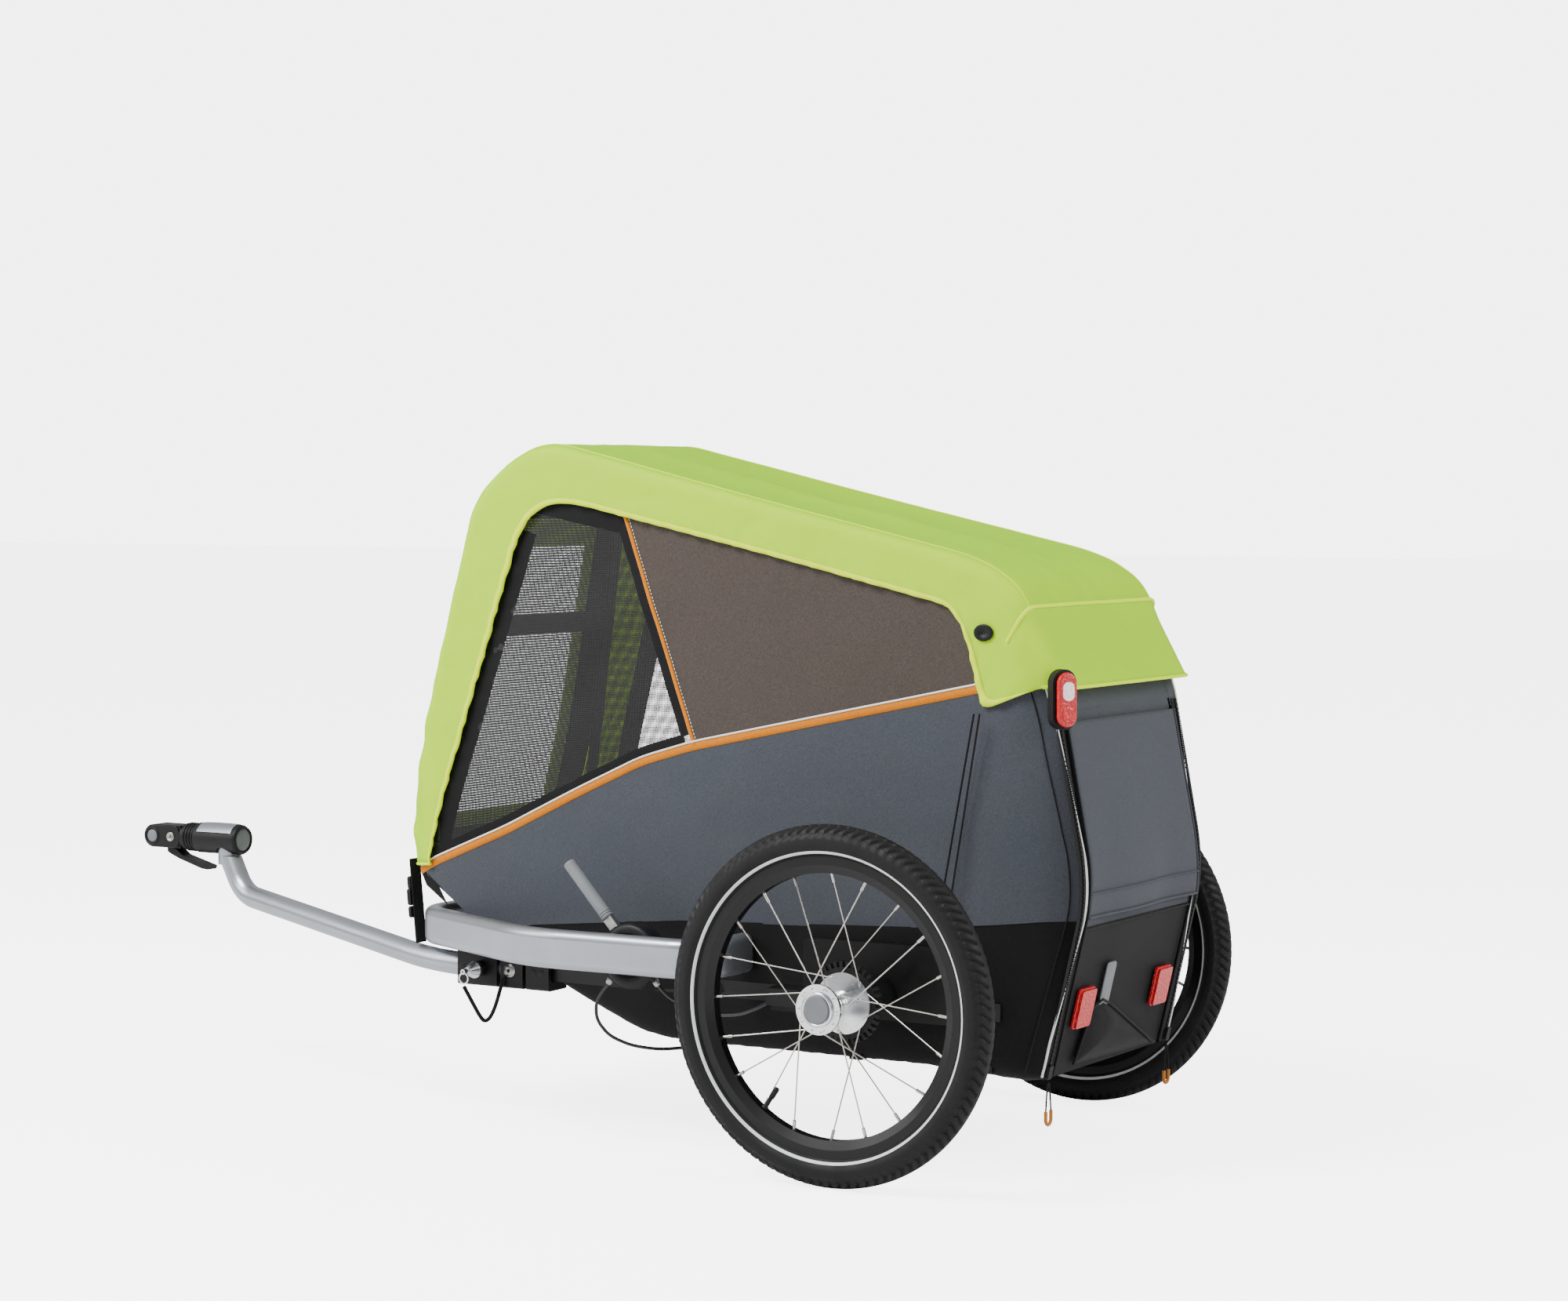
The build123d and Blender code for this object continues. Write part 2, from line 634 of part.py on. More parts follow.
bracket_half = 24.0
bracket_side = rail_y + bracket_half
barrel_length = 15.0
with BuildPart() as drawbar_bracket:
    for start, end in ((576, 618), (624, 665), (672, 745)):
        with BuildSketch(Plane(origin=at(start, rail_y, rail_height), x_dir=to_left, z_dir=ahead)):
            with Locations((0, (pad_top - rail_height - 27) / 2)):
                RectangleRounded(2 * bracket_half, pad_top - rail_height + 27, 4)
        extrude(amount=end - start)
    with BuildSketch(Plane(origin=at(660, rail_y, pad_top - 7))):
        Rectangle(170, 2 * bracket_half - 8)
    extrude(amount=7)
    with BuildSketch(Plane(origin=at(lock_x, bracket_side - 4, rail_height), x_dir=ahead, z_dir=to_left)):
        Circle(12)
    extrude(amount=barrel_length + 4)
    with BuildSketch(Plane(origin=at(629, rail_y, rail_height), x_dir=to_left, z_dir=ahead)):
        Circle(drawbar_radius)
    extrude(amount=140, mode=Mode.SUBTRACT)
    with BuildSketch(Plane(origin=at(560, rail_y, rail_height), x_dir=to_left, z_dir=ahead)):
        Rectangle(rail_size, rail_size)
    extrude(amount=left_rail_end - 560, mode=Mode.SUBTRACT)
    with BuildSketch(Plane(origin=at(lock_x, rail_y, rail_height), x_dir=ahead, z_dir=to_left)):
        Circle(lock_pin_radius + running_gap)
    extrude(amount=60, mode=Mode.SUBTRACT)
    add(cabin_body(0.2), mode=Mode.SUBTRACT)
save(drawbar_bracket.part, "drawbar_bracket")

knob_start = bracket_side + barrel_length + 0.3
with BuildPart() as lock_pin:
    with BuildSketch(Plane(origin=at(lock_x, 0, rail_height), x_dir=ahead, z_dir=upward)):
        tip = tube_top + 3 - lock_pin_travel
        with BuildLine():
            Polyline((0, tip), (lock_pin_radius, tip), (lock_pin_radius, knob_start), (13, knob_start),
                     (13, knob_start + 5), (6, knob_start + 22), (4, knob_start + 25), (4, knob_start + 33),
                     (0, knob_start + 33), close=True)
        make_face()
    revolve(axis=Axis(at(lock_x, 0, rail_height), (0, 1, 0)))
    ring_y_place = knob_start + 30
    with BuildSketch(Plane(origin=at(lock_x, ring_y_place, rail_height), x_dir=ahead, z_dir=to_left)):
        Circle(1.6)
    extrude(amount=8, both=True, mode=Mode.SUBTRACT)
    with BuildSketch(Plane(origin=at(lock_x, ring_y_place, rail_height - 10), x_dir=ahead, z_dir=to_left)):
        with Locations((0, 0)):
            Circle(9)
            Circle(7, mode=Mode.SUBTRACT)
    extrude(amount=1, both=True)
save(lock_pin.part, "lock_pin")

# The lanyard hangs in a V between the bracket's side and the ring of the knob
lanyard_start = at(657, bracket_side + 3.2, 226)
lanyard_end = at(lock_x, ring_y_place, rail_height - 22.2)
lanyard_shape = [(0.0, 0), (0.14, -32), (0.25, -51), (0.36, -63), (0.48, -66.5), (0.57, -61),
                 (0.71, -46), (1.0, 0)]
across = lanyard_end - lanyard_start
lanyard = []
for s, drop in lanyard_shape:
    rise = across.Z if s == 1.0 else 0.0
    lanyard.append(lanyard_start + Vector(across.X * s, across.Y * s, drop + rise))
cord(lanyard, lanyard_radius, "pin_lanyard")

# ---------------------------------------------------------------- hitch
yoke_back = hitch_x - 37
yoke_front = hitch_x + 51
yoke_slot = drawbar_radius + 2.5
with BuildPart() as hitch_yoke:
    with BuildSketch(Plane(origin=at(yoke_back, hitch_offset, hitch_height), x_dir=to_left, z_dir=ahead)):
        Circle(yoke_radius)
    extrude(amount=yoke_front - yoke_back)
    chamfer(hitch_yoke.faces().sort_by(Axis.X)[0].edges(), 3)
    with BuildSketch(Plane(origin=at(yaw_x, yaw_y, hitch_height - 30))):
        Circle(yoke_slot)
    extrude(amount=21, mode=Mode.SUBTRACT)
    with BuildSketch(Plane(origin=at(yaw_x, yaw_y, hitch_height - 15))):
        Circle(yaw_stud_radius + running_gap)
    extrude(amount=33, mode=Mode.SUBTRACT)
    with BuildSketch(Plane(origin=at(yoke_front, hitch_offset, hitch_height), x_dir=to_left, z_dir=backward)):
        Circle(roll_spindle_radius + running_gap)
    extrude(amount=24, mode=Mode.SUBTRACT)
save(hitch_yoke.part, "hitch_yoke")

knuckle_front = yoke_front + 31
with BuildPart() as hitch_knuckle:
    knuckle_face = at(yoke_front + 0.3, hitch_offset, hitch_height)
    with BuildSketch(Plane(origin=knuckle_face, x_dir=to_left, z_dir=ahead)):
        Circle(22)
    extrude(amount=knuckle_front - yoke_front - 0.3)
    with BuildSketch(Plane(origin=knuckle_face, x_dir=to_left, z_dir=backward)):
        Circle(roll_spindle_radius)
    extrude(amount=22)
save(hitch_knuckle.part, "hitch_knuckle")

coupler_radius = 19.0
coupler_half = 18.0
stud_x = front_reach - coupler_radius
with BuildPart() as coupler_body:
    with BuildSketch(Plane(origin=at(0, hitch_offset + coupler_half, 0), x_dir=ahead, z_dir=to_right)):
        with Locations(((knuckle_front + stud_x) / 2, hitch_height)):
            Rectangle(stud_x - knuckle_front, 2 * coupler_radius)
        with Locations((stud_x, hitch_height)):
            Circle(coupler_radius)
    extrude(amount=2 * coupler_half)
    with BuildSketch(Plane(origin=at(stud_x, hitch_offset - coupler_half, hitch_height), x_dir=ahead,
                           z_dir=to_left)):
        Circle(axle_stud_radius)
    extrude(amount=26, mode=Mode.SUBTRACT)
    with BuildSketch(Plane(origin=at(stud_x, hitch_offset + coupler_half, hitch_height), x_dir=ahead,
                           z_dir=to_right)):
        Circle(11.8)
    extrude(amount=6, mode=Mode.SUBTRACT)
save(coupler_body.part, "coupler_body")

with BuildPart() as coupler_button:
    with BuildSketch(Plane(origin=at(stud_x, hitch_offset + coupler_half + 1.5, hitch_height), x_dir=ahead,
                           z_dir=to_right)):
        Circle(11.5)
    extrude(amount=4.5)
save(coupler_button.part, "coupler_button")

with BuildPart() as release_lever:
    with BuildSketch(Plane(origin=at(0, hitch_offset + 11, 0), x_dir=ahead, z_dir=to_right)):
        with BuildLine():
            Polyline((knuckle_front + 34, hitch_height - 19.5), (knuckle_front + 24, hitch_height - 19.5),
                     (knuckle_front + 14, hitch_height - 22.5), (knuckle_front + 2, hitch_height - 31),
                     (hitch_x + 27, hitch_height - 46), (hitch_x + 29, hitch_height - 52),
                     (hitch_x + 42, hitch_height - 51), (knuckle_front + 8, hitch_height - 37),
                     (knuckle_front + 26, hitch_height - 30), (knuckle_front + 34, hitch_height - 26),
                     close=True)
        make_face()
    extrude(amount=22)
save(release_lever.part, "release_lever")

# ---------------------------------------------------------------- small pieces on the cabin
slide_start = 153.0
for name, side in (("left", 1), ("right", -1)):
    y = side * zip_y
    with BuildPart() as slider:
        with BuildSketch(door_plane(y, slide_start, 0.4)):
            RectangleRounded(12, 20, 3)
        extrude(amount=5)
    save(slider.part, f"{name}_zip_slider")

    foot = on_door(y, slide_start - 12, 4.5)
    loop_shape = [(-8, -42), (-6, -24), (-3.6, -11), (-1.7, -3), (1.7, -3), (3.6, -11), (6, -24), (8, -42)]
    loop = [foot + Vector(0, dy, dz) for dy, dz in loop_shape]
    cord(loop, pull_cord_radius, f"{name}_pull_cord")
    grip_shape = [(-8, -42.2), (-8, -61), (8, -61), (8, -42.2)]
    grip = [foot + Vector(0, dy, dz) for dy, dz in grip_shape]
    save(round_tube(grip, [7.5, 7.5], 2.6), f"{name}_pull_grip")

    # double elastic between the cover's tip and the hook on the brake bracket
    hook_z = 314.5
    outer_y = cabin_half_width
    hook_y = outer_y + plate_thickness + 3
    elastic = [at(-150, side * (outer_y + 2.5), 652), at(-98, side * hook_y, hook_z + 3),
               at(-95, side * hook_y, hook_z - 6), at(-85, side * hook_y, hook_z - 6),
               at(-82, side * hook_y, hook_z + 3), at(-141, side * (outer_y + 2.5), 652)]
    cord(elastic, elastic_radius, f"{name}_elastic_cord")

light_out = Vector(-0.85, 0.53, 0)
light_centre = at(-256, door_half_width + 28, 674)
with BuildPart() as tail_light_housing:
    with BuildSketch(Plane(origin=light_centre, x_dir=upward, z_dir=light_out)):
        SlotOverall(84, 38)
    extrude(amount=14)
    with BuildSketch(Plane(origin=light_centre, x_dir=upward, z_dir=-light_out)):
        RectangleRounded(30, 14, 3)
    extrude(amount=6)
save(tail_light_housing.part, "tail_light_housing")
with BuildPart() as tail_light_lens:
    with BuildSketch(Plane(origin=light_centre + light_out * 14, x_dir=upward, z_dir=light_out)):
        SlotOverall(76, 30)
    extrude(amount=10)
    fillet(tail_light_lens.faces().sort_by(Axis.X)[0].edges(), 4)
save(tail_light_lens.part, "tail_light_lens")

strap_x = 846.0
with BuildPart() as front_straps:
    for side in (1, -1):
        with BuildSketch(Plane(origin=at(0, side * 212 + 12.5, 0), x_dir=ahead, z_dir=to_right)):
            with BuildLine():
                Polyline((strap_x + 8, 392), (strap_x - 4, 262), (strap_x - 6, 262),
                         (strap_x + 6, 392), close=True)
            make_face()
        extrude(amount=25)
save(front_straps.part, "front_straps")
with BuildPart() as strap_buckles:
    for side in (1, -1):
        buckle_centre = at(strap_x + 4.6, side * 212, 338)
        with BuildSketch(Plane(origin=buckle_centre, x_dir=to_left, z_dir=(0.9957, 0, -0.092))):
            RectangleRounded(32, 56, 5)
        extrude(amount=7)
save(strap_buckles.part, "strap_buckles")
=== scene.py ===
import math

import bpy
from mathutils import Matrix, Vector, noise


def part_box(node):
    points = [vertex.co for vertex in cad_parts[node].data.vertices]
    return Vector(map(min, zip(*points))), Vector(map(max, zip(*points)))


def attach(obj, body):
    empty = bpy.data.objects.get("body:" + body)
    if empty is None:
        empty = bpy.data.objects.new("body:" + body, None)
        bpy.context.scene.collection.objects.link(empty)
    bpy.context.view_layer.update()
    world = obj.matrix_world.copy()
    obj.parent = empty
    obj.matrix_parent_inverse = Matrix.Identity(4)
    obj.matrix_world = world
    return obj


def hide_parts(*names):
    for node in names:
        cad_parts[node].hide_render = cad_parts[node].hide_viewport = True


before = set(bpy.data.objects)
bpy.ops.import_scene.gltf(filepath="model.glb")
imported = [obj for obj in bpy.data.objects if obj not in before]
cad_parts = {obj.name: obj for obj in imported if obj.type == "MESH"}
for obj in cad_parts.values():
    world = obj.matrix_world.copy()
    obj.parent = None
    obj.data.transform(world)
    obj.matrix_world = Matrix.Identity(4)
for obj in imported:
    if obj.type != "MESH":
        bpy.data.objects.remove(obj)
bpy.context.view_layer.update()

# Lengths below are in millimetres from the ground under the middle of the axle, and at() turns
# them into metres
mm = 0.001
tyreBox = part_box("left_tyre")
axleX = (tyreBox[0][0] + tyreBox[1][0]) / 2
axleZ = (tyreBox[0][2] + tyreBox[1][2]) / 2 / mm
wheelY = (tyreBox[0][1] + tyreBox[1][1]) / 2 / mm
sides = (("left", 1), ("right", -1))


def at(x, y, z):
    return Vector((axleX + x * mm, y * mm, z * mm))


# Materials
def paint(code):
    # an sRGB hex colour as the linear one that the shaders take
    parts = [int(code[i : i + 2], 16) / 255 for i in (1, 3, 5)]
    return tuple(c / 12.92 if c <= 0.04045 else ((c + 0.055) / 1.055) ** 2.4 for c in parts) + (1.0,)


def addNode(mat, kind, settings=None, links=None):
    node = mat.node_tree.nodes.new(kind)
    for key, value in (settings or {}).items():
        if isinstance(key, str) and key[0].islower():
            setattr(node, key, value)
        else:
            node.inputs[key].default_value = value
    for key, source in (links or {}).items():
        mat.node_tree.links.new(source, node.inputs[key])
    return node


def blankMaterial(name):
    mat = bpy.data.materials.new(name)
    mat.use_nodes = True
    mat.node_tree.nodes.clear()
    return mat


def placeOf(mat):
    return addNode(mat, "ShaderNodeTexCoord").outputs["Object"]


def blended(mat, look, first, second, share):
    # two colours of the look, mixed by a node's output
    mix = addNode(mat, "ShaderNodeMix", {"data_type": "RGBA", 6: paint(look[first]), 7: paint(look[second])},
                  {0: share})
    return mix.outputs[2]


def finishMaterial(mat, shader):
    addNode(mat, "ShaderNodeOutputMaterial", {}, {"Surface": shader})
    return mat


def solidFinish(name, look):
    # grain varies the colour and the roughness, and a finer grain gives the bump
    mat = blankMaterial(name)
    place = placeOf(mat)
    cloud = addNode(mat, "ShaderNodeTexNoise", {"Scale": 1 / (look["cloud"] * mm), "Detail": 5.0},
                    {"Vector": place})
    grain = addNode(mat, "ShaderNodeTexNoise", {"Scale": 1 / (look["grain"] * mm), "Detail": 3.0},
                    {"Vector": place})
    colour = blended(mat, look, "colour", "shade", cloud.outputs["Fac"])
    rough = addNode(mat, "ShaderNodeMapRange", {"From Min": 0.3, "From Max": 0.7, "To Min": look["rough"][0],
                                                "To Max": look["rough"][1]}, {"Value": cloud.outputs["Fac"]})
    bump = addNode(mat, "ShaderNodeBump", {"Strength": look.get("relief", 0.3),
                                           "Distance": look["depth"] * mm}, {"Height": grain.outputs["Fac"]})
    body = addNode(mat, "ShaderNodeBsdfPrincipled",
                   {"Metallic": look.get("metal", 0.0), "Coat Weight": look.get("coat", 0.0),
                    "Coat Roughness": 0.15, "Specular IOR Level": look.get("shine", 0.5)},
                   {"Base Color": colour, "Roughness": rough.outputs[0], "Normal": bump.outputs[0]})
    return finishMaterial(mat, body.outputs[0])


# Black moulded rubber: dull, with a faint grey bloom
tyreRubber = solidFinish("vulcanisedRubber", {
    "colour": "#0A0A0B", "shade": "#131314", "cloud": 40, "grain": 0.8, "rough": (0.5, 0.72), "depth": 0.12,
    "shine": 0.22})
# Anodised rim: near black with a soft highlight
rimBlack = solidFinish("blackAnodisedAlloy", {
    "colour": "#070708", "shade": "#0D0D0F", "cloud": 60, "grain": 0.6, "rough": (0.34, 0.46), "depth": 0.03,
    "coat": 0.1, "shine": 0.22})
# Drawn spokes: thin bright lines
spokeSteel = solidFinish("drawnStainlessSteel", {
    "colour": "#C9C4BC", "shade": "#A8A39B", "cloud": 12, "grain": 0.5, "rough": (0.18, 0.3), "depth": 0.01,
    "metal": 1.0})
# Turned hubs: mirror-like silver
hubAlloy = solidFinish("turnedAlloy", {
    "colour": "#E3E4E6", "shade": "#C6C8CB", "cloud": 15, "grain": 0.4, "rough": (0.16, 0.28), "depth": 0.01,
    "metal": 1.0})
# Bumper and drawbar: satin silver lacquer with broad highlights
satinSilver = solidFinish("silverPowderCoat", {
    "colour": "#A4A8AE", "shade": "#92969D", "cloud": 90, "grain": 0.5, "rough": (0.3, 0.4), "depth": 0.03,
    "metal": 0.85, "coat": 0.25})
zincSteel = solidFinish("zincPlatedSteel", {
    "colour": "#B4B3AE", "shade": "#8D8C88", "cloud": 10, "grain": 0.6, "rough": (0.28, 0.45), "depth": 0.03,
    "metal": 1.0})
# Moulded nylon: black with fine spark texture
blackNylon = solidFinish("glassFilledNylon", {
    "colour": "#0A0A0B", "shade": "#121214", "cloud": 25, "grain": 0.45, "rough": (0.4, 0.55), "depth": 0.08,
    "shine": 0.22})
greyNylon = solidFinish("greyMouldedNylon", {
    "colour": "#6A6D70", "shade": "#5C5F62", "cloud": 25, "grain": 0.45, "rough": (0.42, 0.55),
    "depth": 0.06})
gripRubber = solidFinish("softGripRubber", {
    "colour": "#74777A", "shade": "#66696C", "cloud": 30, "grain": 0.7, "rough": (0.55, 0.7), "depth": 0.1})
# Frame tubes: black powder coat with a slight orange peel
frameBlack = solidFinish("blackPowderCoat", {
    "colour": "#0C0C0D", "shade": "#141416", "cloud": 50, "grain": 1.2, "rough": (0.35, 0.5), "depth": 0.08,
    "coat": 0.05, "shine": 0.22})
foamSleeve = solidFinish("closedCellFoam", {
    "colour": "#222326", "shade": "#2F3034", "cloud": 8, "grain": 1.1, "rough": (0.8, 0.92), "depth": 0.5,
    "relief": 0.6, "shine": 0.22})
cableSheath = solidFinish("extrudedCableSheath", {
    "colour": "#121213", "shade": "#1C1C1D", "cloud": 20, "grain": 0.5, "rough": (0.35, 0.48), "depth": 0.03})
ochreNylon = solidFinish("ochreMouldedRubber", {
    "colour": "#B06A08", "shade": "#9C5C06", "cloud": 12, "grain": 0.6, "rough": (0.45, 0.6), "depth": 0.06})
# Piping and stripe: pale grey-white that reads as a drawn line
reflectiveTape = solidFinish("glassBeadTape", {
    "colour": "#D4D6D6", "shade": "#BFC2C3", "cloud": 10, "grain": 0.3, "rough": (0.35, 0.5), "depth": 0.04})
whitePiping = solidFinish("wovenWhitePiping", {
    "colour": "#E4E3DE", "shade": "#D2D1CB", "cloud": 6, "grain": 0.6, "rough": (0.7, 0.85), "depth": 0.15})


def threadWays(mat, place):
    # the two directions that threads are counted in: along the cloth, and up it
    parts = addNode(mat, "ShaderNodeSeparateXYZ", {}, {0: place})
    along = addNode(mat, "ShaderNodeMath", {"operation": "ADD"}, {0: parts.outputs[0], 1: parts.outputs[1]})
    return along.outputs[0], parts.outputs[2]


def wovenCloth(name, look):
    # crossed threads give the bump, and streaks along both thread directions give the melange
    mat = blankMaterial(name)
    place = placeOf(mat)
    ridges = []
    for source in threadWays(mat, place):
        turn = addNode(mat, "ShaderNodeMath",
                       {"operation": "MULTIPLY", 1: 2 * math.pi / (look["thread"] * mm)}, {0: source})
        ridges.append(addNode(mat, "ShaderNodeMath", {"operation": "SINE"}, {0: turn.outputs[0]}).outputs[0])
    weave = addNode(mat, "ShaderNodeMath", {"operation": "MULTIPLY"}, {0: ridges[0], 1: ridges[1]})
    streaks = []
    for stretch in ((1 / (look["streak"] * mm), 1 / (0.9 * mm)), (1 / (0.9 * mm), 1 / (look["streak"] * mm))):
        flat = addNode(mat, "ShaderNodeMapping", {"Scale": (stretch[0], stretch[0], stretch[1])},
                       {"Vector": place})
        streaks.append(addNode(mat, "ShaderNodeTexNoise", {"Scale": 1.0, "Detail": 2.0},
                               {"Vector": flat.outputs[0]}).outputs["Fac"])
    both = addNode(mat, "ShaderNodeMath", {"operation": "ADD"}, {0: streaks[0], 1: streaks[1]})
    melange = addNode(mat, "ShaderNodeMapRange", {"From Min": 0.75, "From Max": 1.25},
                      {"Value": both.outputs[0]})
    dust = addNode(mat, "ShaderNodeTexNoise", {"Scale": 9.0, "Detail": 4.0}, {"Vector": place})
    body = blended(mat, look, "colour", "fleck", melange.outputs[0])
    tinted = addNode(mat, "ShaderNodeMix", {"data_type": "RGBA", "blend_type": "MULTIPLY",
                                            0: look.get("mottle", 0.25)}, {6: body, 7: dust.outputs["Color"]})
    bump = addNode(mat, "ShaderNodeBump", {"Strength": 0.35, "Distance": look["depth"] * mm},
                   {"Height": weave.outputs[0]})
    skin = addNode(mat, "ShaderNodeBsdfPrincipled",
                   {"Roughness": look["rough"], "Sheen Weight": look["sheen"], "Specular IOR Level": 0.14,
                    "Sheen Roughness": 0.4}, {"Base Color": tinted.outputs[2], "Normal": bump.outputs[0]})
    return finishMaterial(mat, skin.outputs[0])


# Slate and taupe melange: matt with a dry bloom at grazing light
slateCloth = wovenCloth("slateMelangePolyester", {
    "colour": "#3A3D43", "fleck": "#44474E", "thread": 1.1, "streak": 4, "depth": 0.25, "rough": 0.85,
    "sheen": 0.12, "mottle": 0.1})
taupeCloth = wovenCloth("taupeMelangePolyester", {
    "colour": "#3E3733", "fleck": "#4C443F", "thread": 1.1, "streak": 4, "depth": 0.25, "rough": 0.85,
    "sheen": 0.12, "mottle": 0.1})
# Coated tub cloth: deep black with a slight gloss on its folds
blackCloth = wovenCloth("coatedBlackPolyester", {
    "colour": "#060607", "fleck": "#0A0A0C", "thread": 1.4, "streak": 5, "depth": 0.3, "rough": 0.62,
    "sheen": 0.05, "mottle": 0.2})
webbing = wovenCloth("blackWovenWebbing", {
    "colour": "#0A0A0B", "fleck": "#161617", "thread": 1.8, "streak": 3, "depth": 0.5, "rough": 0.7,
    "sheen": 0.1})
orangeTape = wovenCloth("orangeWovenTape", {
    "colour": "#B86600", "fleck": "#CC7A0C", "thread": 1.2, "streak": 3, "depth": 0.3, "rough": 0.75,
    "sheen": 0.1, "mottle": 0.1})


def openMesh(name, look):
    # threads cross at a fixed pitch, and light passes between them
    mat = blankMaterial(name)
    place = placeOf(mat)
    threads = []
    for source in threadWays(mat, place):
        step = addNode(mat, "ShaderNodeMath", {"operation": "DIVIDE", 1: look["pitch"] * mm}, {0: source})
        cell = addNode(mat, "ShaderNodeMath", {"operation": "FRACT"}, {0: step.outputs[0]})
        threads.append(addNode(mat, "ShaderNodeMath", {"operation": "LESS_THAN", 1: look["cover"]},
                               {0: cell.outputs[0]}).outputs[0])
    solid = addNode(mat, "ShaderNodeMath", {"operation": "MAXIMUM"}, {0: threads[0], 1: threads[1]})
    speck = addNode(mat, "ShaderNodeTexNoise", {"Scale": 600.0, "Detail": 2.0}, {"Vector": place})
    colour = blended(mat, look, "colour", "fleck", speck.outputs["Fac"])
    thread = addNode(mat, "ShaderNodeBsdfPrincipled", {"Roughness": look["rough"]}, {"Base Color": colour})
    gap = addNode(mat, "ShaderNodeBsdfTransparent")
    mixed = addNode(mat, "ShaderNodeMixShader", {}, {0: solid.outputs[0], 1: gap.outputs[0],
                                                     2: thread.outputs[0]})
    return finishMaterial(mat, mixed.outputs[0])


# Side windows: black net that shows the inside dimly
windowMesh = openMesh("blackWarpKnitMesh", {
    "colour": "#0A0A0B", "fleck": "#141415", "pitch": 2.0, "cover": 0.34, "rough": 0.6})
# Front window: silver-grey net that catches the light
frontMesh = openMesh("silverGreyWovenMesh", {
    "colour": "#4A4C50", "fleck": "#74767A", "pitch": 4.0, "cover": 0.64, "rough": 0.5})


def coverCloth(name, look):
    # light passes through the coated cloth, and a painted shade turns it greener where it is seen at a slant,
    # for the roof's darker, greener look in the light
    mat = blankMaterial(name)
    place = placeOf(mat)
    # painted shade: the facing value mixes towards the greener slant colour at grazing angles
    slant = addNode(mat, "ShaderNodeLayerWeight", {"Blend": 0.5})
    paintedSlantShade = addNode(mat, "ShaderNodeMapRange", {"From Min": 0.35, "From Max": 0.92},
                    {"Value": slant.outputs["Facing"]})
    colour = blended(mat, look, "colour", "slant", paintedSlantShade.outputs[0])
    crease = addNode(mat, "ShaderNodeTexNoise", {"Scale": 1 / (look["crease"] * mm), "Detail": 4.0,
                                                 "Distortion": 0.8}, {"Vector": place})
    fine = addNode(mat, "ShaderNodeTexNoise", {"Scale": 900.0, "Detail": 1.0}, {"Vector": place})
    height = addNode(mat, "ShaderNodeMath", {"operation": "MULTIPLY_ADD", 1: 0.04},
                     {0: fine.outputs["Fac"], 2: crease.outputs["Fac"]})
    bump = addNode(mat, "ShaderNodeBump", {"Strength": 0.22, "Distance": look["depth"] * mm},
                   {"Height": height.outputs[0]})
    face = addNode(mat, "ShaderNodeBsdfPrincipled", {"Roughness": 0.62, "Specular IOR Level": 0.12},
                   {"Base Color": colour, "Normal": bump.outputs[0]})
    through = addNode(mat, "ShaderNodeBsdfTranslucent", {"Color": paint(look["glow"])},
                      {"Normal": bump.outputs[0]})
    mixed = addNode(mat, "ShaderNodeMixShader", {0: look["passes"]},
                    {1: face.outputs[0], 2: through.outputs[0]})
    return finishMaterial(mat, mixed.outputs[0])


# slant is a painted shade colour for the cloth seen at grazing angles, as on the roof
limeCloth = coverCloth("limeCoatedRipstop", {
    "colour": "#C4F000", "slant": "#A4DE10", "glow": "#F0FF00", "crease": 55, "depth": 9, "passes": 0.4})
# The cover's sewn hems get a brighter, yellower colour than the single cloth: painted light, for the light
# shining through them
limeHemPaintedLight = coverCloth("limeHemWithPaintedLight", {
    "colour": "#E4FA00", "slant": "#CCF000", "glow": "#F6FF20", "crease": 12, "depth": 2, "passes": 0.25})


def clearSheet(name, look):
    # thin film: mostly seen through, with a gloss that follows its faint waves
    mat = blankMaterial(name)
    place = placeOf(mat)
    waves = addNode(mat, "ShaderNodeTexNoise", {"Scale": 1 / (look["wave"] * mm), "Detail": 2.0},
                    {"Vector": place})
    bump = addNode(mat, "ShaderNodeBump", {"Strength": 0.2, "Distance": 2 * mm},
                   {"Height": waves.outputs["Fac"]})
    gloss = addNode(mat, "ShaderNodeBsdfPrincipled", {"Base Color": paint(look["colour"]), "Roughness": 0.08},
                    {"Normal": bump.outputs[0]})
    gap = addNode(mat, "ShaderNodeBsdfTransparent")
    mixed = addNode(mat, "ShaderNodeMixShader", {0: look["haze"]}, {1: gap.outputs[0], 2: gloss.outputs[0]})
    return finishMaterial(mat, mixed.outputs[0])


# The cover's front window: daylight passes with a faint haze
clearFilm = clearSheet("clearWindowFilm", {"colour": "#D8DCDC", "wave": 60, "haze": 0.1})


def clearPlastic(name, look):
    # facets inside a clear moulding break its colour up with painted glints of a lighter colour, and lit
    # gives a painted glow
    mat = blankMaterial(name)
    place = placeOf(mat)
    facetGlintPattern = addNode(mat, "ShaderNodeTexVoronoi", {"Scale": 1 / (look["facet"] * mm)}, {"Vector": place})
    paintedGlintTone = blended(mat, look, "colour", "paintedGlint", facetGlintPattern.outputs["Distance"])
    bump = addNode(mat, "ShaderNodeBump", {"Strength": 0.8, "Distance": look["depth"] * mm},
                   {"Height": facetGlintPattern.outputs["Distance"]})
    # the emission is a painted glow in the glint colour, since the lens is no lamp
    body = addNode(mat, "ShaderNodeBsdfPrincipled", {
        "Roughness": 0.28, "Coat Weight": 0.25, "Coat Roughness": 0.05, "Emission Strength": look["lit"],
        "Emission Color": paint(look["paintedGlint"])}, {"Base Color": paintedGlintTone, "Normal": bump.outputs[0]})
    return finishMaterial(mat, body.outputs[0])


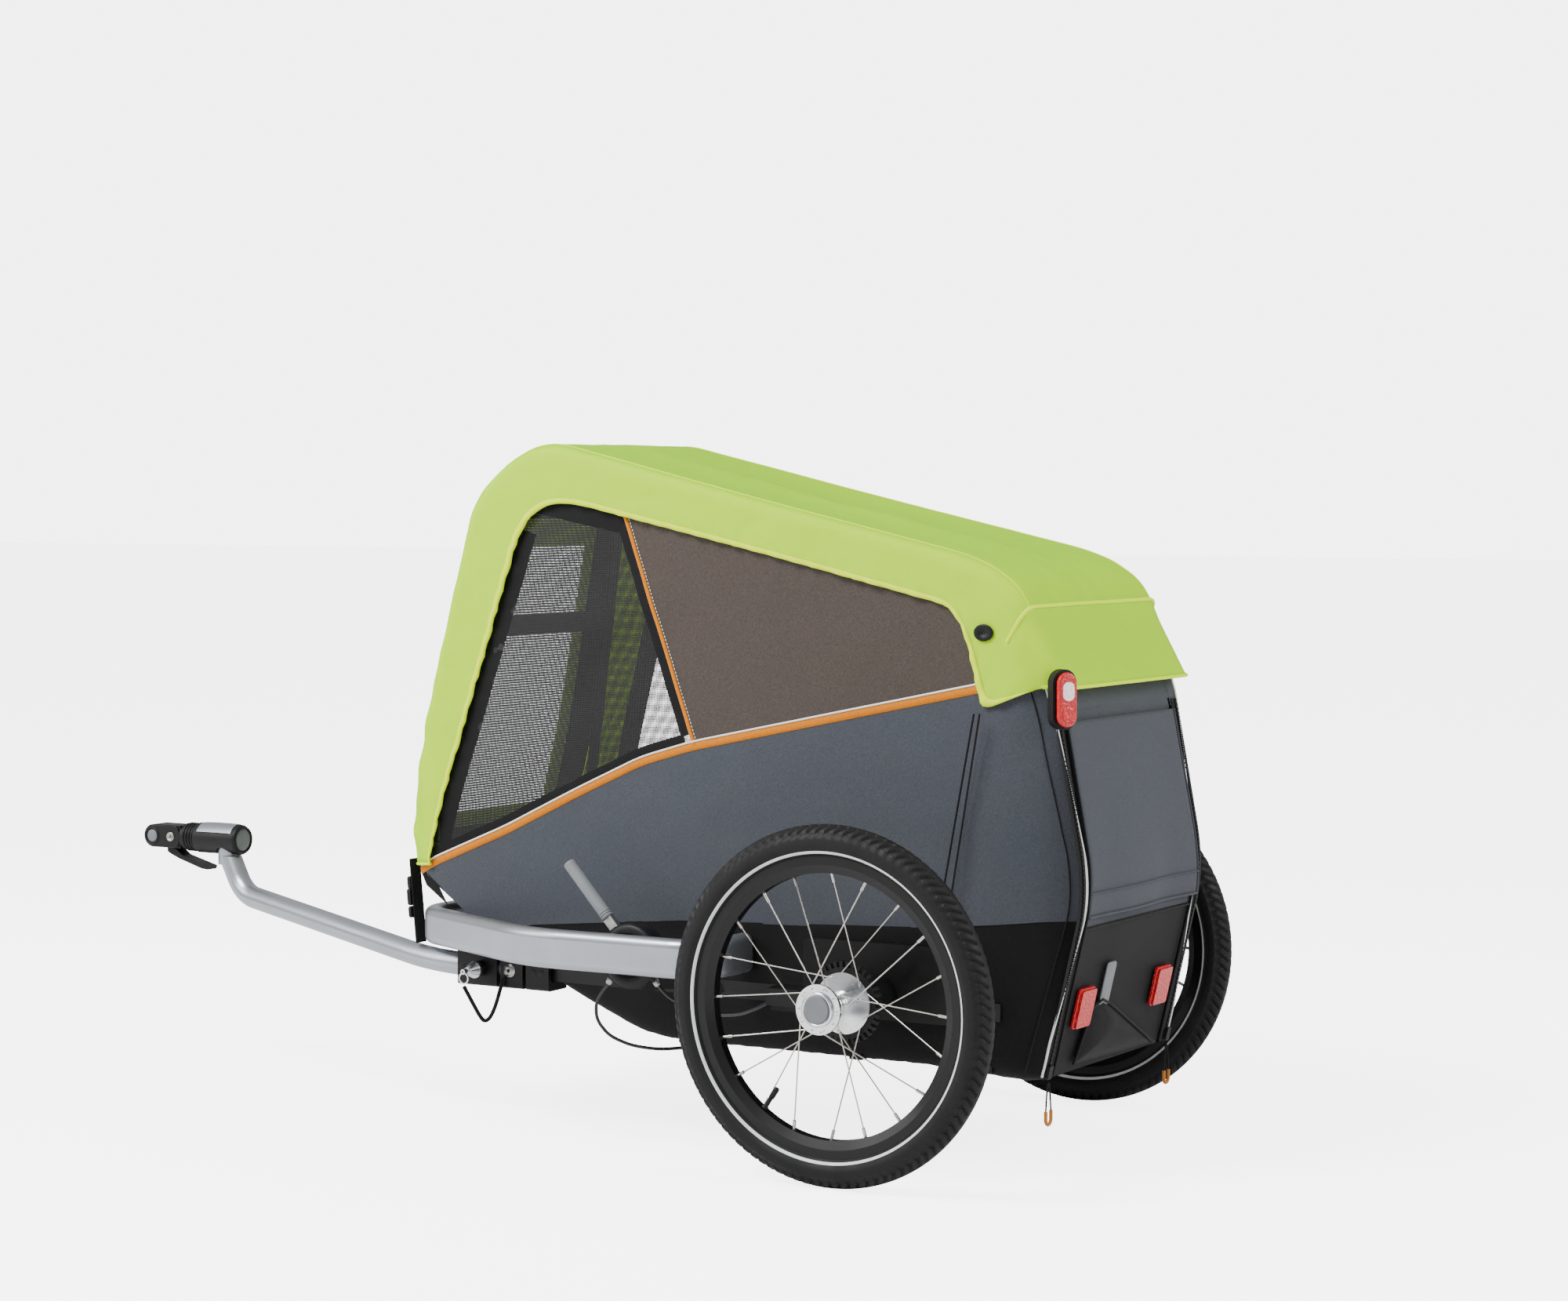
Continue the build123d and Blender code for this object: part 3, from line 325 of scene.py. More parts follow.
redPrism = clearPlastic("prismaticRedAcrylic", {
    "colour": "#A80006", "paintedGlint": "#C80A12", "facet": 5, "depth": 1.5, "lit": 0.0})
redLens = clearPlastic("mouldedRedAcrylic", {
    "colour": "#A00005", "paintedGlint": "#C0080E", "facet": 3, "depth": 1.0, "lit": 0.0})
clearLens = clearPlastic("mouldedClearAcrylic", {
    # lit 0.1 gives the clear lens a faint painted glow
    "colour": "#C9A8A8", "paintedGlint": "#F6ECEC", "facet": 3, "depth": 1.0, "lit": 0.1})
print("materials done")


# Piece makers
def settle(name, data, body, stands):
    piece = bpy.data.objects.new(name, data)
    bpy.context.scene.collection.objects.link(piece)
    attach(piece, body)
    if stands:
        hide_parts(*stands)
    return piece


def makePiece(name, points, faces, mats, body, slotName, stands=(), faceMats=None, smooth=True):
    mesh = bpy.data.meshes.new(name)
    mesh.from_pydata([tuple(p) for p in points], [], faces)
    for mat in mats:
        mesh.materials.append(mat)
    if faceMats:
        mesh.polygons.foreach_set("material_index", faceMats)
    mesh.polygons.foreach_set("use_smooth", [smooth] * len(mesh.polygons))
    mesh.validate()
    mesh.update()
    return settle(name, mesh, body, stands)


def gridFaces(rows, columns, start=0, ring=False):
    faces = []
    for row in range(rows if ring else rows - 1):
        below = start + row * columns
        above = start + ((row + 1) % rows) * columns
        for column in range(columns - 1):
            faces.append((below + column, below + column + 1, above + column + 1, above + column))
    return faces


def bandFaces(rings, count):
    # stacked rings of count points each, closed round
    faces = []
    for ring in range(rings - 1):
        for i in range(count):
            j = (i + 1) % count
            faces.append((ring * count + i, ring * count + j, (ring + 1) * count + j, (ring + 1) * count + i))
    return faces


def lathe(profile, centre, side, turns):
    # profile points are (radius, distance outward along the axle)
    points = []
    for i in range(turns):
        angle = 2 * math.pi * i / turns
        for radius, out in profile:
            points.append((centre + Vector((radius * math.cos(angle), side * out, radius * math.sin(angle))))
                          * mm)
    return points, gridFaces(turns, len(profile), ring=True)


def wire(name, points, radius, mat, body, stands=(), kind="POLY"):
    data = bpy.data.curves.new(name, "CURVE")
    data.dimensions = "3D"
    data.bevel_depth = radius * mm
    data.bevel_resolution = 4
    data.use_fill_caps = True
    spline = data.splines.new(kind)
    spline.points.add(len(points) - 1)
    for target, point in zip(spline.points, points):
        target.co = (point[0], point[1], point[2], 1.0)
    if kind == "NURBS":
        spline.order_u = 3
        spline.use_endpoint_u = True
        spline.resolution_u = 14
    data.materials.append(mat)
    return settle(name, data, body, stands)


def prism(outline, normal, across, origin, depth, soften):
    # an outline drawn in a plane and given depth, with its outer edges softened by rings
    up = Vector(normal).normalized()
    right = Vector(across).normalized()
    side = up.cross(right)
    rings = [(0.0, 0.0), (0.0, depth - soften), (soften * 0.3, depth - soften * 0.3), (soften, depth)]
    middle = Vector((sum(p[0] for p in outline), sum(p[1] for p in outline))) / len(outline)
    points = []
    for inset, rise in rings:
        for u, v in outline:
            away = Vector((u, v)) - middle
            short = away * (1 - inset / max(away.length, inset + 0.1))
            points.append(origin + (right * (middle.x + short.x) + side * (middle.y + short.y) + up * rise)
                          * mm)
    count = len(outline)
    faces = bandFaces(len(rings), count)
    faces.append(tuple(reversed(range(count))))
    faces.append(tuple(range((len(rings) - 1) * count, len(rings) * count)))
    return points, faces


def roundOutline(width, height, radius, steps=5):
    outline = []
    corners = ((1, 1, 0), (-1, 1, 90), (-1, -1, 180), (1, -1, 270))
    for cx, cy, start in corners:
        for i in range(steps + 1):
            angle = math.radians(start + 90 * i / steps)
            outline.append((cx * (width / 2 - radius) + radius * math.cos(angle),
                            cy * (height / 2 - radius) + radius * math.sin(angle)))
    return outline


def merge(parts):
    points, faces = [], []
    for some, more in parts:
        base = len(points)
        points += list(some)
        faces += [tuple(base + i for i in face) for face in more]
    return points, faces


def between(stops, value):
    # straight interpolation along (from, to) stops in rising order
    if value <= stops[0][0]:
        return stops[0][1]
    for (a, va), (b, vb) in zip(stops, stops[1:]):
        if value <= b:
            return va + (vb - va) * (value - a) / (b - a)
    return stops[-1][1]


def eased(stops, value, reach):
    # the same line with its corners rounded over reach
    return sum(between(stops, value + reach * step) for step in (-1, -0.5, 0, 0.5, 1)) / 5


def softMin(a, b, reach):
    mix = max(0.0, reach - abs(a - b)) / reach
    return min(a, b) - mix * mix * reach / 4


def alongLine(points, count):
    # count points at equal steps along straight runs
    lengths = [0.0]
    for a, b in zip(points, points[1:]):
        lengths.append(lengths[-1] + math.dist(a, b))
    result = []
    for i in range(count):
        want = lengths[-1] * i / (count - 1)
        k = max(j for j in range(len(lengths)) if lengths[j] <= want + 1e-9)
        k = min(k, len(points) - 2)
        share = (want - lengths[k]) / max(lengths[k + 1] - lengths[k], 1e-9)
        result.append(tuple(p + (q - p) * share for p, q in zip(points[k], points[k + 1])))
    return result


def spread(rows, columns):
    # a panel's places: 0 to 1 from its first row to its last, and -1 to 1 across each row
    half = columns // 2
    return [(i / (rows - 1), (j - half) / half) for i in range(rows) for j in range(columns)]


def smoothed(points, passes):
    line = [Vector(p) for p in points]
    for step in range(passes):
        line = [line[0]] + [(a + b * 2 + c) / 4 for a, b, c in zip(line, line[1:], line[2:])] + [line[-1]]
    return line


# Cords
cordRadius = {"lanyard": 3.0, "pull": 1.2, "elastic": 1.5}


def cordPiece(name, route, radius, mat, body, node):
    points = [at(*p) for p in route]
    piece = wire(name, points, radius, mat, body, (node,), "NURBS")
    return piece


lanyardRoute = [(657, 250.7, 226), (663, 256.6, 194), (667.8, 261.2, 175), (672.5, 265.9, 163),
                (677.6, 270.9, 159.5), (681.5, 274.7, 165), (687.5, 280.6, 180), (700, 292.8, 213.8)]
cordPiece("lanyardCord", lanyardRoute, cordRadius["lanyard"], webbing, "root",
          "pin_lanyard")
for name, side in sides:
    pullRoute = [(-235.3, side * 196 + y, 140 + z) for y, z in ((-8, -42), (-6, -24), (-3.6, -11), (-1.7, -3),
                                                              (1.7, -3), (3.6, -11), (6, -24), (8, -42))]
    cordPiece(name + "PullCord", pullRoute, cordRadius["pull"], webbing, name + "_slider",
              name + "_pull_cord")
    elasticRoute = [(-150, side * 242.5, 652), (-98, side * 253, 317.5), (-95, side * 253, 308.5),
                    (-85, side * 253, 308.5), (-82, side * 253, 317.5), (-141, side * 242.5, 652)]
    cordPiece(name + "ElasticCord", elasticRoute, cordRadius["elastic"], webbing, "root",
              name + "_elastic_cord")
print("cords done")

# Cabin cloth: every panel lies on one smooth outer form
cabin = {"halfWidth": 240, "taperFrom": 500, "taper": 45 / 560, "sag": 7, "coverGap": 5}


def halfWidthAt(z):
    return cabin["halfWidth"] - max(0.0, z - cabin["taperFrom"]) * cabin["taper"]


def wallY(x, z):
    # distance from the middle plane to the cabin's side
    y = softMin(halfWidthAt(z), 172 + (x + 300) * 0.618, 26)
    y = softMin(y, 290 - (x - 748) * 0.746, 22)
    low = between([(118, 198), (150, 231), (205, 241), (1100, 300)], z)
    return min(y, low)


rearStops = [(131, -226), (137, -230), (380, -287), (440, -287), (655, -247), (805, -197), (869, -100),
             (1036, 613)]
frontStops = [(345, 775), (388, 842), (460, 847), (924, 750), (985, 690), (1036, 613)]
roofStops = [(-247, 655), (-197, 805), (-100, 869), (613, 1033), (690, 984), (750, 922), (848, 460)]
orangeStops = [(-300, 719), (-128, 683), (331, 587), (420, 561), (520, 515), (662, 447), (803, 389),
               (850, 366)]
tubStops = [(-300, 365), (-233, 364), (28, 340), (345, 331), (612, 307), (690, 292), (715, 303), (767, 339),
            (845, 390)]
seamStops = [(588, 327), (927, 468), (1000, 498)]


def rearX(z):
    return eased(rearStops, z, 22)


def frontX(z):
    return eased(frontStops, z, 14)


def roofZ(x):
    return eased(roofStops, x, 18)


def orangeZ(x):
    return eased(orangeStops, x, 16)


def tubZ(x):
    return eased(tubStops, x, 8)


def seamX(z):
    return between(seamStops, z)


def clothBulge(x, z, depth):
    # the cloth bows a little and carries soft folds
    fold = noise.noise(Vector((x * 0.006, z * 0.011, 3.1))) * 2.2 + noise.noise(
        Vector((x * 0.02, z * 0.03, 8.4))) * 0.8
    return (fold - 0.6) * depth


def wallPoint(x, z, side, lift=0.0, depth=1.0):
    return at(x, side * (wallY(x, z) - 3 + clothBulge(x, z, depth) + lift), z)


def wallPatch(startX, endX, lowZ, highZ, side, columns, rows, lift=0.0):
    points = []
    for row in range(rows):
        for column in range(columns):
            u = column / (columns - 1)
            v = row / (rows - 1)
            z = 400 + 300 * v
            # x and z depend on each other, so they are settled in a few passes
            for passing in range(5):
                x = startX(z) + (endX(z) - startX(z)) * u
                z = lowZ(x) + (highZ(x) - lowZ(x)) * v
            points.append(wallPoint(x, z, side, lift))
    return points, gridFaces(rows, columns)


def ribbon(line, side, width, lift, crown=0.6):
    # a tape along (x, z) points on the wall, slightly crowned
    dense = alongLine(line, max(12, int(len(line) * 14)))
    points = []
    for i, (x, z) in enumerate(dense):
        before = dense[max(0, i - 1)]
        after = dense[min(len(dense) - 1, i + 1)]
        run = Vector((after[0] - before[0], after[1] - before[1])).normalized()
        for share in (-0.5, -0.42, 0, 0.42, 0.5):
            px = x - run.y * width * share
            pz = z + run.x * width * share
            rise = 0 if abs(share) == 0.5 else lift + (crown if share == 0 else crown * 0.7)
            points.append(wallPoint(px, pz, side, rise))
    return points, gridFaces(len(dense), 5)


def lineOn(function, start, end, count=40):
    return [(start + (end - start) * i / (count - 1), function(start + (end - start) * i / (count - 1)))
            for i in range(count)]


stitch = {"count": 66, "start": 594, "pitch": 5.2, "length": 3, "inset": 6}
for name, side in sides:
    slate = wallPatch(lambda z: rearX(z) + 3, lambda z: frontX(z) - 4, tubZ, orangeZ, side, 120, 24)
    taupe = wallPatch(lambda z: rearX(z) + 3, seamX, orangeZ, lambda x: roofZ(x) - 16, side, 76, 22)
    window = wallPatch(seamX, lambda z: frontX(z) - 5, orangeZ, lambda x: roofZ(x) - 16, side, 40, 26)
    flank = []
    for row in range(40):
        z = 345 + (700 - 345) * row / 39
        x = rearX(z) + 3
        corner = wallPoint(x, z, side)
        for share in (0.0, 0.5, 1.0):
            flank.append(corner.lerp(at(x - 0.5, side * 181, z), share))
    parts = [slate, taupe, window, (flank, gridFaces(40, 3))]
    points, faces = merge(parts)
    owners = []
    for index, part in enumerate(parts):
        owners += [(0, 1, 2, 0)[index]] * len(part[1])
    cloth = makePiece(name + "WallCloth", points, faces, [slateCloth, taupeCloth, windowMesh], "root",
                      "slate_fabric", (name + "_wall",), owners)
    tape = ribbon(lineOn(orangeZ, -215, 832, 70), side, 12, 0.9)
    seam = ribbon([(seamX(z), z) for z in (589, 700, 800, 900, 950)], side, 6, 1.2)
    trim = makePiece(name + "OrangeTape", *merge([tape, seam]), [orangeTape], "root", "slate_fabric")
    pipe = wire(name + "WhitePiping", [wallPoint(x, z + 7.5, side, 1.4) for x, z in lineOn(
        orangeZ, -215, 830, 90)], 1.5, whitePiping, "root")
    blackRims = [[(seamX(z) + 11, z) for z in (602, 700, 800, 900, 940)],
                 [(x, orangeZ(x) + 15) for x, z in lineOn(orangeZ, 345, 800, 40)],
                 [(793 - (z - 420) * 0.2982 - 7, z) for z in (420, 500, 600, 700, 800, 900)],
                 [(x, 912 + (x - 468) * 0.19) for x in (470, 520, 570, 630)]]
    bands = [ribbon(line, side, width, -0.2, 0.4) for line, width in zip(blackRims, (15, 14, 36, 30))]
    border = makePiece(name + "WindowBorder", *merge(bands), [blackCloth], "root", "black_fabric")
    stitchParts = []
    for i in range(stitch["count"]):
        z = stitch["start"] + i * stitch["pitch"]
        a = wallPoint(seamX(z) - stitch["inset"], z, side, 1.1)
        b = wallPoint(seamX(z + stitch["length"]) - stitch["inset"], z + stitch["length"], side, 1.1)
        across = Vector((0.5 * mm, 0, 0))
        stitchParts.append(([a - across, a + across, b + across, b - across,
                             (a + b) / 2 + Vector((0, side * 0.5 * mm, 0))],
                            [(0, 1, 4), (1, 2, 4), (2, 3, 4), (3, 0, 4)]))
    stitches = makePiece(name + "SeamStitches", *merge(stitchParts), [whitePiping], "root", "slate_fabric")
print("walls done")

# Wrapped cloth: stations run along a profile, and each goes from the middle over the corner to its hem
cover = {"rows": 150, "steps": 46, "thickness": 1.4, "hem": 2.4, "pucker": 6.0, "gather": 2.0,
         "windowRows": (5, 43), "windowHalf": 15, "peakRow": 44}


def wrapPoints(profile, hems, lift, shape, passes):
    # profile and hems are matching (x, z) points, and shape() moves each point from the taut line
    half = cover["steps"]
    points = []
    for index, ((px, pz), (hx, hz)) in enumerate(zip(profile, hems)):
        edge = wallY(px, pz) + lift - 3
        corner = Vector((px, edge, pz))
        middle = Vector((px, 0.0, pz))
        hem = Vector((hx, wallY(hx, hz) + lift - 3, hz))
        line = [middle.lerp(corner, i / 25) for i in range(25)]
        for i in range(half - 25):
            share = i / (half - 26)
            p = corner.lerp(hem, share)
            p.y = wallY(p.x, p.z) + lift - 3
            line.append(p)
        line = smoothed(line, passes)
        full = [Vector((p.x, -p.y, p.z)) for p in reversed(line[1:])] + line
        for j, p in enumerate(full):
            share = abs(j - (half - 1)) / (half - 1)
            points.append(shape(p, share, index))
    return points


def ramped(count, line):
    return [tuple(p) for p in smoothed(alongLine(line, count), 3)]


coverProfile = ramped(cover["rows"], [(838, 386), (849, 420), (849, 470), (753, 926), (735, 962), (690, 1003),
                                      (640, 1028), (600, 1033), (250, 951), (-100, 873), (-150, 855),
                                      (-188, 829), (-205, 804), (-214, 778), (-240, 731), (-268, 689)])
coverHems = ramped(cover["rows"], [(800, 389), (803, 400), (793, 430), (655, 890), (640, 915), (620, 934), (
    590, 943), (545, 940), (210, 868), (-90, 800), (-112, 770), (-124, 735), (-146, 655), (-232, 690)])


def coverShape(p, share, index):
    # sag between the bars, puckers round the front edge, gathers at the hem
    x, y, z = p
    flat = max(0.0, 1 - share / 0.5)
    roof = max(0.0, 1 - abs(index - 98) / 34)
    dip = cabin["sag"] * math.sin(math.pi * min(1, flat)) * roof
    swell = noise.noise(Vector((x * 0.008, y * 0.008, z * 0.008))) * 3.4 * (1 - share * 0.6)
    swell += noise.noise(Vector((x * 0.03, y * 0.03, z * 0.03))) * 1.6
    edge = math.exp(-((share - 0.55) / 0.08) ** 2) * max(0.0, 1 - index / 62)
    swell += edge * cover["pucker"] * (0.6 + noise.noise(Vector((index * 0.33, 0, 4.0)))) * 1.3
    drift = noise.noise(Vector((index * 0.2, 1, 1))) * 3
    gather = math.exp(-(1 - share) * 16) * cover["gather"] * math.sin(index * 1.9 + drift)
    out = Vector((x - 260, 0, z - 640)).normalized()
    side = 1 if y > 0 else -1
    mix = min(1.0, share / 0.55)
    push = out * (1 - mix) + Vector((0, side, 0)) * mix
    spot = Vector((x, y, z)) + push * (swell + gather) - Vector((0, 0, dip))
    return at(spot.x, spot.y, spot.z)


rearEdge = min(range(cover["rows"]), key=lambda i: math.dist(coverProfile[i], (-205, 804)))
coverPoints = wrapPoints(coverProfile, coverHems, cabin["coverGap"], coverShape, 10)
coverColumns = 2 * cover["steps"] - 1
# a clear film window fills the cover's front
coverOwners = []
for row in range(cover["rows"] - 1):
    for column in range(coverColumns - 1):
        offset = abs(column + 0.5 - (coverColumns - 1) / 2)
        inRows = cover["windowRows"][0] < row < cover["windowRows"][1]
        coverOwners.append(1 if inRows and offset < cover["windowHalf"] else 0)
rainCover = makePiece("limeRainCover", coverPoints, gridFaces(cover["rows"], coverColumns),
                      [limeCloth, clearFilm], "root", "lime_fabric", ("rain_cover",), coverOwners)
thick = rainCover.modifiers.new("thickness", "SOLIDIFY")
thick.thickness = cover["thickness"] * mm
thick.offset = 0
for name, column in (("right", 0), ("left", coverColumns - 1)):
    step = 1 if column == 0 else -1
    band = []
    for row in range(cover["rows"]):
        for back, lift in ((0, 0.0), (0, 2.0), (1, 2.2), (2, 2.2), (2, 0.4)):
            p = coverPoints[row * coverColumns + column + step * back].copy()
            p.y += (1 if p.y > 0 else -1) * lift * mm
            band.append(p)
    makePiece(name + "CoverHem", band, gridFaces(cover["rows"], 5), [limeHemPaintedLight], "root",
                               "lime_fabric")
lastRow = coverPoints[-coverColumns:]
wire("rearCoverHem", [p + Vector((-0.8 * mm, 0, 0)) for p in lastRow], 2.6, limeHemPaintedLight, "root")
seamRow = [coverPoints[rearEdge * coverColumns + j] + Vector((-2 * mm, 0, 1 * mm))
           for j in range(12, coverColumns - 12)]
wire("rearCoverSeam", seamRow, 2.8, limeHemPaintedLight, "root")
for name, side in sides:
    # the seam between the roof and the side runs just outside the corner
    column = cover["steps"] - 1 + side * 23
    line = [coverPoints[row * coverColumns + column] + Vector((0, side * 0.3, 1.0)) * mm
            for row in range(cover["peakRow"], rearEdge + 1)]
    wire(name + "CoverSeam", line, 1.1, limeHemPaintedLight, "root")
firstRow = coverPoints[:coverColumns]
wire("frontCoverHem", firstRow, cover["hem"], limeHemPaintedLight, "root")
for name, side in sides:
    # round eyelet near the rear corner
    spot = at(-146, side * (wallY(-146, 764) + 4.5), 764)
    ringPoints = []
    for i in range(32):
        angle = 2 * math.pi * i / 32
        for radius, rise in ((15, 0), (15, 1.6), (12.5, 2.2), (7, 1.8), (5.5, 0.8), (0.5, 0.5)):
            ringPoints.append(
                spot + Vector((radius * math.cos(angle), side * rise, radius * 0.8 * math.sin(angle))) * mm)
    makePiece(name + "CoverEyelet", ringPoints, gridFaces(32, 6, ring=True), [blackNylon],
                               "root", "black_plastic")
print("cover done")

# Tub
tubProfile = ramped(90, [(-226, 139), (-205, 134), (-50, 146), (370, 146), (430, 155), (557, 213), (700, 299),
                         (767, 338), (842, 388)])
tubHems = ramped(90, [(-283, 366), (-235, 364), (-60, 348), (340, 331), (420, 325), (560, 312), (690, 300),
                      (767, 342), (842, 391)])


def tubShape(p, share, index):
    x, y, z = p
    fold = noise.noise(Vector((x * 0.01, y * 0.01, z * 0.015))) * 2.5
    ruffle = math.exp(-((share - 0.5) / 0.05) ** 2) * 1.2 * math.sin(index * 2.3)
    side = 1 if y > 0 else -1
    return at(x, y + side * (fold * 0.4 - 2.2) * min(1, share * 2),
              z + (ruffle + fold * 0.3 + 1.5) * (1 - share))


tubPoints = wrapPoints(tubProfile, tubHems, 1.0, tubShape, 8)
tubCloth = makePiece("tubCloth", tubPoints, gridFaces(90, coverColumns), [blackCloth], "root", "black_fabric",
                     ("tub",))
print("tub done")

# Roof and front cloth under the cover
roofPoints = []
for down, share in spread(60, 21):
    x = -190 + (735 + 190) * down
    z = roofZ(x) - 14 - 2.5 * (1 - share * share)
    roofPoints.append(at(x, share * (wallY(x, z) - 10), z))
roofCloth = makePiece("roofCloth", roofPoints, gridFaces(60, 21), [blackCloth], "root", "black_mesh",
                      ("roof_panel",))
headerPoints = []
for down, share in spread(24, 25):
    z = 655 + (800 - 655) * down
    headerPoints.append(at(rearX(z) + 3, share * (wallY(rearX(z) + 3, z) - 3), z))
header = makePiece("rearHeader", headerPoints, gridFaces(24, 25), [slateCloth], "root", "slate_fabric")
front = {"rows": 70, "columns": 49, "foot": 392, "top": 978, "bow": 3, "meshRows": (4, 62), "meshHalf": 16}
frontPoints = []
for up, share in spread(front["rows"], front["columns"]):
    z = front["foot"] + (front["top"] - front["foot"]) * up
    bow = front["bow"] * (1 - share * share)
    frontPoints.append(at(frontX(z) - 9 - bow, share * (wallY(frontX(z) - 6, z) - 8), z))
frontOwners = [1 if abs(j - front["columns"] / 2 + 1) < front["meshHalf"]
               and front["meshRows"][0] < i < front["meshRows"][1] else 0 for i in range(front["rows"] - 1)
               for j in range(front["columns"] - 1)]
frontCloth = makePiece("frontCloth", frontPoints, gridFaces(front["rows"], front["columns"]),
                       [blackCloth, frontMesh], "root", "black_mesh", ("front_panel",), frontOwners)
print("roof and front done")

# Rear door, its flap, the pouch and the zips
door = {"half": 179, "foot": 141, "split": 352, "top": 655, "rows": 90, "columns": 49}
doorPoints = []
for up, share in spread(door["rows"], door["columns"]):
    z = door["foot"] + (door["top"] - door["foot"]) * up
    fold = noise.noise(Vector((share * 2.2, z * 0.008, 5.5))) * 2.4 - 1.6
    doorPoints.append(at(rearX(z) + 2.5 - fold * 0.5 + (1 if abs(share) == 1 else 0), share * door["half"],
                         z))
# the slate cloth starts above the split, and the black cloth is below it
blackRows = 1 + int((door["split"] - door["foot"]) / (door["top"] - door["foot"]) * (door["rows"] - 1))
doorOwners = [1 if i < blackRows else 0 for i in range(door["rows"] - 1) for j in range(door["columns"] - 1)]
doorCloth = makePiece("doorCloth", doorPoints, gridFaces(door["rows"], door["columns"]),
                      [slateCloth, blackCloth], "door", "slate_fabric", ("rear_door",), doorOwners)
for name, side in sides:
    edge = [at(rearX(z) - 0.5, side * 176, z) for z in range(145, 655, 10)]
    wire(name + "DoorBinding", edge, 2.0, webbing, "door")
splitLine = [at(rearX(door["split"]) - 0.2, y, door["split"]) for y in range(-176, 177, 8)]
wire("doorSplitSeam", splitLine, 1.3, webbing, "door")

flap = {"half": 176, "top": 640, "foot": 369, "lift": 3.2, "rows": 50, "columns": 41, "thickness": 1.6}
flapPoints = []
for hang, share in spread(flap["rows"], flap["columns"]):
    z = flap["top"] + (flap["foot"] - flap["top"]) * hang
    wave = math.sin(share * 5.2 + 0.6) * 2.2 * hang ** 2
    wave += noise.noise(Vector((share * 3, z * 0.012, 9.1))) * 1.6 * hang
    flapPoints.append(at(rearX(z) - flap["lift"] - wave - 1.5 * hang, share * flap["half"], z))
flapCloth = makePiece("flapCloth", flapPoints, gridFaces(flap["rows"], flap["columns"]), [slateCloth], "flap",
                      "slate_fabric", ("door_flap",))
stiff = flapCloth.modifiers.new("thickness", "SOLIDIFY")
stiff.thickness = flap["thickness"] * mm
for name, shift in (("flapHem", 0), ("flapHemFold", 6)):
    start = (flap["rows"] - 1 - shift) * flap["columns"]
    line = [p + Vector((-1.3 * mm, 0, 0)) for p in flapPoints[start:start + flap["columns"]]]
    wire(name, line, 1.2 if shift else 1.9, slateCloth, "flap")
for name, column in (("right", 0), ("left", flap["columns"] - 1)):
    line = [p + Vector((-0.6 * mm, 0, 0)) for p in flapPoints[column::flap["columns"]]]
    wire(name + "FlapEdge", line, 1.5, slateCloth, "flap")

pouch = {"rings": 12, "around": 63, "height": 11.5, "middle": (35, 192)}
pouchOutline = [(-150, 146), (40, 230), (70, 240), (98, 232), (122, 152)]
pouchRim = alongLine(pouchOutline + pouchOutline[:1], pouch["around"] + 1)[:-1]
pouchPoints = []
for ring in range(pouch["rings"]):
    share = ring / (pouch["rings"] - 1)
    height = pouch["height"] * (1 - (1 - share) ** 2.2) if ring else 1.0
    for y, z in pouchRim:
        py, pz = (c + (p - c) * (1 - share * 0.86) for p, c in zip((y, z), pouch["middle"]))
        dent = noise.noise(Vector((py * 0.02, pz * 0.03, 2))) * 2.5 * share
        pouchPoints.append(at(rearX(pz) - 0.8 - max(0.4, min(13, height + dent)), py, pz))
pouchFaces = bandFaces(pouch["rings"], pouch["around"])
pouchFaces.append(tuple(range((pouch["rings"] - 1) * pouch["around"], pouch["rings"] * pouch["around"])))
pouchCloth = makePiece("pouchCloth", pouchPoints, pouchFaces, [blackCloth], "door", "black_fabric",
                       ("pouch",))
pouchEdge = [at(rearX(z) - 4, y, z) for y, z in alongLine(pouchOutline, 60)]
pouchHem = wire("pouchBinding", pouchEdge, 2.0, webbing, "door")
tabMesh = prism(roundOutline(30, 66, 6), (-0.973, 0, -0.228), (0, -1, 0), at(rearX(262) - 1, 62, 262), 2.4,
                0.8)
tab = makePiece("clearTab", *tabMesh, [greyNylon], "door", "black_fabric")

zipper = {"offset": 194, "pitch": 3.2}
for name, side in sides:
    tapePoints = []
    heights = [142 + 512 * i / 90 for i in range(91)]
    for z in heights:
        for y, lift in ((183, 0.6), (186, 1.4), (194, 1.8), (201, 1.4), (205, 0.6)):
            tapePoints.append(at(rearX(z) + 1.8 - lift, side * y, z))
    makePiece(name + "ZipTape", tapePoints, gridFaces(91, 5), [webbing], "root", "black_webbing")
    teeth = []
    z = 146.0
    flip = 1
    while z < 652:
        x = rearX(z) - 0.2
        corners = [at(x + dx, side * (zipper["offset"] + flip * 0.9 + dy), z + dz)
                   for dx in (0, -2.0) for dy, dz in ((-2.4, -1), (2.4, -1), (2.0, 1), (-2.0, 1))]
        teeth.append((corners, [(0, 1, 2, 3), (4, 7, 6, 5), (0, 4, 5, 1), (1, 5, 6, 2), (2, 6, 7, 3),
                                (3, 7, 4, 0)]))
        z += zipper["pitch"]
        flip = -flip
    makePiece(name + "ZipTeeth", *merge(teeth), [blackNylon], "root", "black_plastic", smooth=False)
    outer = [at(rearX(z) + 1.5, side * min(206, wallY(rearX(z), z) - 1), z) for z in range(146, 694, 6)]
    wire(name + "ZipPiping", outer, 1.8, reflectiveTape, "root")
    flankSeam = [wallPoint(rearX(z) + 22, z, side, 0.8) for z in range(150, 694, 6)]
    wire(name + "FlankSeam", flankSeam, 1.1, webbing, "root")
print("rear done")

